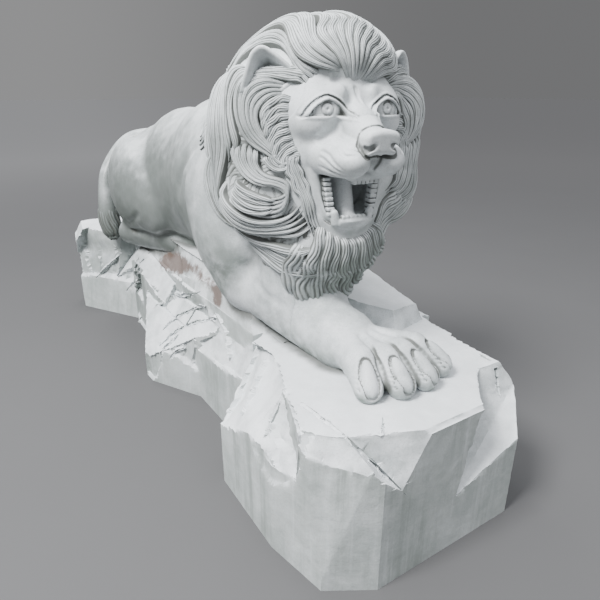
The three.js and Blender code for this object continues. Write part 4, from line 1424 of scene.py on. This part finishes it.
def wedges(surface, line, width, depth):
    """The slivers of stone that a crack leaves out, steep on one side, fading out at its ends."""
    spots = spline(placed(line), 2 * len(line) + 1)
    rings = []
    for i, spot in enumerate(spots):
        place, normal, _, _ = surface.find_nearest(Vector(spot))
        along = spots[min(i + 1, len(spots) - 1)] - spots[max(i - 1, 0)]
        side = np.cross(along, normal)
        side /= np.linalg.norm(side)
        size = (0.12 + 0.88 * math.sin(math.pi * i / (len(spots) - 1))) / 1000
        lift = np.array(normal) * 0.002
        place = np.array(place)
        rings.append((place + side * width * size / 2 + lift, place - side * width * size / 2 + lift,
                      place + side * width * size * 0.3 - np.array(normal) * depth * size))
    return [hull([*one, *other]) for one, other in zip(rings, rings[1:])]


# Points of the rock closer than this are one, and edges flatter than this angle are smooth.
SLIVER = 0.0008
ARRIS = math.radians(24)


def tile(stone):
    """Cuts a stone's faces into small ones of an even size, which keeps its arrises sharp."""
    only(stone)
    low, high = np.array(stone.bound_box).min(0), np.array(stone.bound_box).max(0)
    size = bpy.context.scene.carving.rock_tile
    bpy.ops.object.mode_set(mode="EDIT")
    for axis in range(3):
        way = [float(axis == k) for k in range(3)]
        for place in np.arange(low[axis] + size * 0.61, high[axis], size):
            bpy.ops.mesh.select_all(action="SELECT")
            bpy.ops.mesh.bisect(plane_co=[place * k for k in way], plane_no=way)
    bpy.ops.mesh.select_all(action="SELECT")
    bpy.ops.mesh.remove_doubles(threshold=SLIVER)
    bpy.ops.mesh.quads_convert_to_tris()
    bpy.ops.object.mode_set(mode="OBJECT")
    finer = stone.modifiers.new("finer", "SUBSURF")
    finer.subdivision_type = "SIMPLE"
    finer.levels = finer.render_levels = 1
    apply_all(stone)


class STATUE_OT_rock(bpy.types.Operator):
    """Build the rock of hewn boulders, crack it, scoop it and roughen it"""

    bl_idname = "statue.rock"
    bl_label = "Build rock"

    def execute(self, context):
        stones = [hewn(*values) for values in BOULDERS]
        rock = stones[0]
        combine(rock, stones[1:], "UNION")
        combine(rock, [chip(*cut) for cut in BACK_CUTS], "DIFFERENCE")
        surface = BVHTree.FromObject(rock, context.evaluated_depsgraph_get())
        slivers = [sliver for crack in CRACKS for sliver in wedges(surface, *crack)]
        combine(rock, slivers, "DIFFERENCE")
        rock.name = rock.data.name = "rock"
        tile(rock)
        weather(rock, surface)
        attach(rock, "root")
        return {"FINISHED"}


def scooped(p, n, surface):
    """Takes rounded flakes off points with their normals."""
    for middle, width, depth in SCOOPS:
        width, depth = width / 1000, depth / 1000
        place, normal, _, _ = surface.find_nearest(Vector(placed(middle)))
        normal = np.array(normal)
        ball = (width**2 + depth**2) / (2 * depth)
        rel = p - (np.array(place) + normal * (ball - depth))
        inside = (rel**2).sum(1) < ball**2
        inside &= n @ normal > 0.8
        rel = rel[inside]
        out = rel @ normal
        deep = out + np.sqrt(np.maximum(out**2 - (rel**2).sum(1) + ball**2, 0))
        p[inside] -= np.clip(deep, 0, depth)[:, None] * normal
    return p


# Where stone has split off upright sides above the sawn foot: the middle and reach along y of each stretch,
# how high its foot is at the middle and beside it, how deep it is split, all in millimetres, and its number
# of ridges.
SPLITS = [(960, 330, 185, 120, 26, 5), (60, 150, 150, 95, 16, 4)]


def split(p, n):
    """Splits stone off the upright sides in fans of ridges, which leaves a sawn foot with an arched edge."""
    for middle, reach, high, low, depth, ridges in SPLITS:
        place = (p[:, 1] - PLACE[1]) * 1000 - middle
        foot = high - (high - low) * np.clip(np.abs(place) / reach, 0, 1) ** 2
        above = ease(p[:, 2] * 1000 - foot, -4, 12) * (1 - ease(p[:, 2] * 1000, 300, 385))
        side = ease(-n[:, 0], 0.3, 0.6) * (1 - ease(n[:, 2], 0.3, 0.5))
        ends = 1 - ease(np.abs(place), reach * 0.85, reach)
        fan = (place / reach * (1.2 - p[:, 2] * 1.6) * ridges) % 1
        cut = depth / 1000 * above * (side * ends) * (0.45 + 0.55 * fan)
        p = p - n * cut[:, None]
    return p


def weather(rock, surface):
    """Gives the rock's faces the flakes and ripples of broken stone, and dirt with painted shade where the
    lion meets it.
    """
    mesh = rock.data
    p, n = read(mesh, "co"), read(mesh, "normal")
    before = p.copy()
    broken = ease(n[:, 2], 0.15, 0.4) * (1 - 0.6 * ease(n[:, 2], 0.9, 0.99))
    p = scooped(p, n, surface)
    p = split(p, n)
    ripples = 0.0055 * broken * grain(p * (1, 0.8, 0.7), 0.085, 11) + 0.0022 * broken * grain(p, 0.034, 12)
    ripples += (0.0006 + 0.0007 * broken) * grain(p, 0.014, 14)
    p = p + n * (ripples - 0.003 * broken)[:, None]
    p = before + (p - before) * ease(before[:, 2], 0.0, 0.02)[:, None]
    p = np.clip(p, *np.array(CAD_BOX))
    mesh.vertices.foreach_set("co", p.ravel())
    carved = p - PLACE
    lion = in_parts(bulk, carved)
    # Darker where the rock meets the lion: grime and painted contact shade.
    mark(mesh, "grime", 0.85 * (1 - ease(lion, 0.0, 0.055)))
    streak, _ = to_line(carved, DIRT)
    mark(mesh, "soil", (1 - ease(streak, 0.015, 0.085)) * (1 - ease(lion, 0.05, 0.15)))
    mesh.update()
    only(rock)
    bpy.ops.object.shade_smooth_by_angle(angle=ARRIS)


class Wire:
    """A socket that adds Math nodes when it is used in a sum."""

    def __init__(self, tree, socket):
        self.tree = tree
        self.socket = socket

    def __add__(self, other):
        return self.tree.math("ADD", self, other)

    def __radd__(self, other):
        return self.tree.math("ADD", other, self)

    def __sub__(self, other):
        return self.tree.math("SUBTRACT", self, other)

    def __rsub__(self, other):
        return self.tree.math("SUBTRACT", other, self)

    def __mul__(self, other):
        return self.tree.math("MULTIPLY", self, other)

    def __rmul__(self, other):
        return self.tree.math("MULTIPLY", other, self)


class Finish:
    """A material's node tree, with one way to add a node."""

    def __init__(self, name):
        self.material = bpy.data.materials.new(name)
        self.material.use_nodes = True
        self.start(self.material.node_tree)

    def start(self, tree):
        self.nodes = tree.nodes
        self.links = tree.links
        self.nodes.clear()

    @classmethod
    def on(cls, tree):
        """The same way of adding nodes, for a tree that isn't a material's."""
        made = cls.__new__(cls)
        made.start(tree)
        return made

    def node(self, kind, settings=None, sockets=None, out=0):
        """Adds a node with its settings and its inputs, numbers or wires, and gives one of its outputs."""
        made = self.nodes.new(kind)
        for key, value in (settings or {}).items():
            if key == "stops":
                ramp = made.color_ramp.elements
                for i, (place, colour) in enumerate(value):
                    stop = ramp[i] if i < 2 else ramp.new(place)
                    stop.position = place
                    stop.color = colour
            else:
                setattr(made, key, value)
        for key, value in (sockets or {}).items():
            if isinstance(value, Wire):
                self.links.new(value.socket, made.inputs[key])
            else:
                made.inputs[key].default_value = value
        return Wire(self, made.outputs[out])

    def math(self, operation, *values):
        return self.node("ShaderNodeMath", {"operation": operation}, dict(enumerate(values)))

    def clamp(self, value):
        return self.node("ShaderNodeMath", {"operation": "ADD", "use_clamp": True}, {0: value, 1: 0.0})

    def between(self, value, low, high):
        """0 below low, 1 above high and smooth between."""
        ends = {"Value": value, "From Min": low, "From Max": high}
        return self.node("ShaderNodeMapRange", {"interpolation_type": "SMOOTHSTEP"}, ends)

    def mix(self, share, first, second, blend="MIX"):
        return self.node(
            "ShaderNodeMix", {"data_type": "RGBA", "blend_type": blend}, {0: share, 6: first, 7: second}, 2
        )

    def noise(self, place, scale, detail=3.0, rough=0.55, bend=0.0):
        return self.node(
            "ShaderNodeTexNoise", {},
            {"Vector": place, "Scale": scale, "Detail": detail, "Roughness": rough, "Distortion": bend},
        )

    def end(self, shader):
        made = self.nodes.new("ShaderNodeOutputMaterial")
        self.links.new(shader.socket, made.inputs["Surface"])

    def stretched(self, place, scale):
        return self.node("ShaderNodeMapping", {}, {"Vector": place, "Scale": scale})


def full(colour):
    """A colour with nothing see-through about it."""
    return (*colour, 1.0)


# The stone's bright crystals, the colour of the light painted on its upward faces, and how much light bends
# in it.
CRYSTAL = (0.88, 0.9, 0.91, 1.0)
PAINTED_LIGHT_ON_TOPS = (0.88, 0.91, 0.94, 1.0)
BENDING = 1.48


def marble(name, stone, drips=0.0, polish=0.0, patina_and_shade=0.35, strength=0.25, soiled=False, hind=0.0, pale=0.0,
           grey=0.0):
    """Weathered grey-white marble, mottled and veined, with dirt in its cuts.

    The shares are of streaks on upright faces (drips), a smoother surface (polish), a damp film on sheltered
    stone that also paints shade on undersides and low stone (patina), a film that also paints shade and a
    dark reflection on the hindquarters (hind), painted light on upward faces (pale) and a greyer stone
    (grey), which on the mane is painted shade.
    """
    m = Finish(name)
    place = m.node("ShaderNodeTexCoord", out=3)
    normal = m.node("ShaderNodeNewGeometry", out=1)
    facing = m.node("ShaderNodeSeparateXYZ", sockets={0: normal}, out=2)
    grime = m.node("ShaderNodeAttribute", {"attribute_name": "grime"}, out=2)
    cloud = m.noise(place, 2.6, 5.0, 0.6, 0.4)
    mottle = m.noise(place, 15.0, 5.0, 0.62)
    speck = m.noise(place, 230.0, 2.0, 0.7)
    bands = m.noise(m.stretched(place, (2.2, 1.1, 3.4)), 2.0, 6.0, 0.62, 1.3)
    vein = 1.0 - m.between(m.math("ABSOLUTE", bands - 0.5), 0.0, 0.03)
    body = m.between(cloud * 0.55 + mottle * 0.45, 0.38, 0.64)
    colour = m.mix(body * 0.85, full(stone.light), full(stone.shade))
    colour = m.mix(m.between(cloud, 0.42, 0.3) * 0.35, colour, full(stone.blue))
    colour = m.mix(vein * 0.4 * m.between(cloud, 0.4, 0.7), colour, full(stone.shade))
    colour = m.mix(m.between(speck, 0.5, 0.8) * 0.4, colour, full([c * 0.55 for c in stone.shade]))
    colour = m.mix(m.between(1.0 - speck, 0.55, 0.8) * 0.35, colour, CRYSTAL)
    if grey:
        colour = m.mix(grey, colour, full(stone.shade))
    # Painted light: upward faces are made paler.
    if pale:
        colour = m.mix(m.between(facing, 0.3, 0.9) * pale, colour, PAINTED_LIGHT_ON_TOPS)
    # Patina in damp patches, weighted to downward-facing and low stone: partly patina, partly painted shade
    # on the undersides, darker towards the bottom.
    damp = m.between(m.noise(place, 4.2, 6.0, 0.68, 0.3), 0.36, 0.62) * patina_and_shade
    sheltered = m.between(1.0 - facing, 0.5, 1.5)
    low = 1.0 - m.between(m.node("ShaderNodeSeparateXYZ", sockets={0: place}, out=2), 0.52, 0.92)
    colour = m.mix(m.clamp(damp * (0.1 + sheltered * (0.8 + 1.5 * low))), colour, full(stone.patina_and_shade))
    back = 0.0
    # Painted shade and a painted dark reflection, with some patina: on the hindquarters side-facing stone is
    # darkened far more than upward stone.
    if hind:
        along = m.node("ShaderNodeSeparateXYZ", sockets={0: place}, out=1)
        back = m.between(along + (cloud - 0.5) * 0.4, -0.5, 0.15) * hind
        film_and_shade = back * (0.06 + 0.94 * m.between(1.0 - facing + (mottle - 0.5) * 0.5, 0.1, 0.95))
        colour = m.mix(film_and_shade, colour, full([0.5 * c for c in stone.patina_and_shade]))
    if drips:
        streak = m.noise(m.stretched(place, (1.0, 1.0, 0.05)), 26.0, 6.0, 0.7)
        wash = m.noise(m.stretched(place, (1.0, 1.0, 0.3)), 5.0, 4.0, 0.6)
        upright = 1.0 - m.between(m.math("ABSOLUTE", facing), 0.12, 0.3)
        colour = m.mix(upright * drips * 0.45, colour, full(stone.sawn))
        wet = m.between(streak * 0.6 + wash * 0.4, 0.47, 0.66) * upright * drips * 0.6
        colour = m.mix(wet, colour, full(stone.patina_and_shade))
        dry = m.between(1.0 - streak, 0.54, 0.72) * upright * drips * 0.35
        colour = m.mix(dry, colour, full(stone.light))
    # Dirt and painted shade: darker where the marked grime lies, in cuts, grooves and hollows.
    dirt_and_shade = m.clamp(m.between(grime + (mottle - 0.5) * 0.4, 0.22, 0.85))
    colour = m.mix(dirt_and_shade * 0.88, colour, full(stone.grime))
    if soiled:
        soil = m.node("ShaderNodeAttribute", {"attribute_name": "soil"}, out=2)
        patchy = m.between(soil + (m.noise(place, 42.0, 5.0, 0.7) - 0.5) * 1.1, 0.35, 0.75)
        colour = m.mix(patchy * 0.85, colour, full(stone.soil))
    rough = m.clamp(0.6 - polish + 0.16 * mottle + dirt_and_shade * 0.2 - 0.24 * back)
    height = mottle * 0.5 + m.noise(place, 60.0, 3.0, 0.6) * 0.35 + speck * 0.14
    bump = m.node("ShaderNodeBump", {}, {"Strength": strength, "Distance": 0.004, "Height": height})
    surface = {"Base Color": colour, "Roughness": rough, "Normal": bump, "IOR": BENDING}
    m.end(m.node("ShaderNodeBsdfPrincipled", {}, surface))
    return m.material


class STATUE_OT_finish(bpy.types.Operator):
    """Give every piece its stone"""

    bl_idname = "statue.finish"
    bl_label = "Finish stone"

    def execute(self, context):
        stone = context.scene.stone
        carved = marble("carved_marble", stone, drips=0.15, polish=0.12, patina_and_shade=0.45, hind=0.85, grey=0.1)
        # The mane's copy of the marble is greyer all over: painted shade for its deep-cut locks.
        hair = marble("mane_marble", stone, patina_and_shade=0.5, strength=0.15, grey=0.32)
        broken = marble("rock_marble", stone, drips=1.0, patina_and_shade=0.4, strength=0.5, soiled=True, pale=0.6)
        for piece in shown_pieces():
            if piece.name == "marble_lion":
                continue
            piece.data.materials.clear()
            family = piece.name.split("_")[0]
            piece.data.materials.append({"rock": broken, "mane": hair}.get(family, carved))
        return {"FINISHED"}


def leftward(tree, way):
    """How far to the left of the view a way points, from 0 to 1."""
    return 1.0 - tree.between(tree.node("ShaderNodeSeparateXYZ", sockets={0: way}), 0.1, 0.75)


# The camera: where it stands, how many degrees it looks down and aside, and its lens in millimetres.
VIEWPOINT = (-0.8125, -1.835, 1.08)
LOOK_DOWN = 21.7
LOOK_ASIDE = -32
LENS = 31.2
# The floor's two tones near the statue, the floor's and the horizon's tones far to the right and to the left,
# and the tone overhead. The far floor is painted paler, most so to the left: painted light.
FLOOR_NEAR = ((0.108, 0.108, 0.11, 1), (0.116, 0.116, 0.118, 1))
FLOOR_FAR = ((0.149, 0.147, 0.147, 1), (0.258, 0.256, 0.256, 1))
HORIZON = ((0.17, 0.171, 0.174, 1), (0.3, 0.3, 0.304, 1))
CEILING = (1.55, 1.58, 1.64, 1)
# Each light's name, place, the spot it is aimed at, its size in metres and its power in watts.
LIGHTS = [
    ("key_light", (-2.6, -1.2, 4.0), (0, -0.3, 0.6), 1.3, 430),
    ("fill_light", (2.6, -3.2, 1.4), (0, 0, 0.4), 2.6, 22),
    ("top_light", (0.0, 1.7, 4.4), (0, 0, 0.7), 1.4, 90),
]


class STATUE_OT_stage(bpy.types.Operator):
    """Lay the floor, hang the lights and place the camera"""

    bl_idname = "statue.stage"
    bl_label = "Set stage"

    def execute(self, context):
        self.floor(context)
        self.lights(context)
        self.surroundings(context)
        self.camera(context)
        return {"FINISHED"}

    def floor(self, context):
        """A matt floor with painted light: it turns a little paler far away, and most so to the left."""
        bpy.ops.object.select_all(action="DESELECT")
        bpy.ops.mesh.primitive_plane_add(size=200)
        floor = context.active_object
        floor.name = floor.data.name = "floor"
        m = Finish("pale_floor")
        place = m.node("ShaderNodeTexCoord", out=3)
        away = m.node("ShaderNodeVectorMath", {"operation": "LENGTH"}, {0: place}, 1)
        tone = m.mix(m.noise(place, 1.5), *FLOOR_NEAR)
        way = m.node("ShaderNodeVectorMath", {"operation": "NORMALIZE"}, {0: place})
        far = m.mix(leftward(m, way), *FLOOR_FAR)
        tone = m.mix(m.between(away, 1.5, 9.0), tone, far)
        matt = {"Base Color": tone, "Roughness": 1.0, "Specular IOR Level": 0.0}
        m.end(m.node("ShaderNodeBsdfPrincipled", {}, matt))
        floor.data.materials.append(m.material)
        floor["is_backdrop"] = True

    def lights(self, context):
        """Hangs each light where it is set, aimed at its spot."""
        for name, place, aim, size, power in LIGHTS:
            lamp = bpy.data.lights.new(name, "AREA")
            lamp.size = size
            lamp.energy = power
            light = bpy.data.objects.new(name, lamp)
            context.collection.objects.link(light)
            light.location = place
            way = np.array(aim) - np.array(place)
            flat = math.hypot(way[0], way[1])
            light.rotation_euler = (math.atan2(flat, -way[2]), 0, math.atan2(way[1], way[0]) - math.pi / 2)

    def surroundings(self, context):
        """A dim horizon, paler to the left, under a bright ceiling."""
        world = bpy.data.worlds.new("studio")
        world.use_nodes = True
        sky = Finish.on(world.node_tree)
        way = sky.node("ShaderNodeTexCoord")
        up = sky.node("ShaderNodeSeparateXYZ", sockets={0: way}, out=2)
        tone = sky.mix(leftward(sky, way), *HORIZON)
        tone = sky.mix(sky.between(up, 0.15, 0.9), tone, CEILING)
        back = sky.nodes.new("ShaderNodeBackground")
        sky.links.new(tone.socket, back.inputs["Color"])
        sky.links.new(back.outputs[0], sky.nodes.new("ShaderNodeOutputWorld").inputs["Surface"])
        context.scene.world = world

    def camera(self, context):
        """Looks down on the statue from ahead of its right side."""
        view = bpy.data.cameras.new("camera")
        view.lens = LENS
        view.sensor_width = 36
        camera = bpy.data.objects.new("camera", view)
        context.collection.objects.link(camera)
        camera.location = VIEWPOINT
        camera.rotation_euler = (math.radians(90 - LOOK_DOWN), 0, math.radians(LOOK_ASIDE))
        context.scene.camera = camera


class STATUE_PT_panel(bpy.types.Panel):
    """Lists the statue's settings and the steps that build it"""

    bl_idname = "STATUE_PT_panel"
    bl_label = "Marble lion"
    bl_space_type = "VIEW_3D"
    bl_region_type = "UI"
    bl_category = "Statue"

    def draw(self, context):
        layout = self.layout
        for group in (context.scene.carving, context.scene.stone):
            box = layout.box()
            for key in group.__annotations__:
                box.prop(group, key)
        for step in STEPS_IN_ORDER:
            layout.operator(step.bl_idname)


STEPS_IN_ORDER = (
    STATUE_OT_coat,
    STATUE_OT_face,
    STATUE_OT_paws,
    STATUE_OT_ears,
    STATUE_OT_tail,
    STATUE_OT_mane,
    STATUE_OT_rock,
    STATUE_OT_finish,
    STATUE_OT_stage,
)
CLASSES = (StoneSettings, CarvingSettings, *STEPS_IN_ORDER, STATUE_PT_panel)


def register():
    for each in CLASSES:
        bpy.utils.register_class(each)
    bpy.types.Scene.stone = bpy.props.PointerProperty(type=StoneSettings)
    bpy.types.Scene.carving = bpy.props.PointerProperty(type=CarvingSettings)


def unregister():
    del bpy.types.Scene.carving
    del bpy.types.Scene.stone
    for each in reversed(CLASSES):
        bpy.utils.unregister_class(each)


def main():
    register()
    bpy.ops.statue.coat()
    bpy.ops.statue.face()
    bpy.ops.statue.paws()
    bpy.ops.statue.ears()
    bpy.ops.statue.tail()
    bpy.ops.statue.mane()
    bpy.ops.statue.rock()
    bpy.ops.statue.finish()
    bpy.ops.statue.stage()


if __name__ == "__main__":
    main()
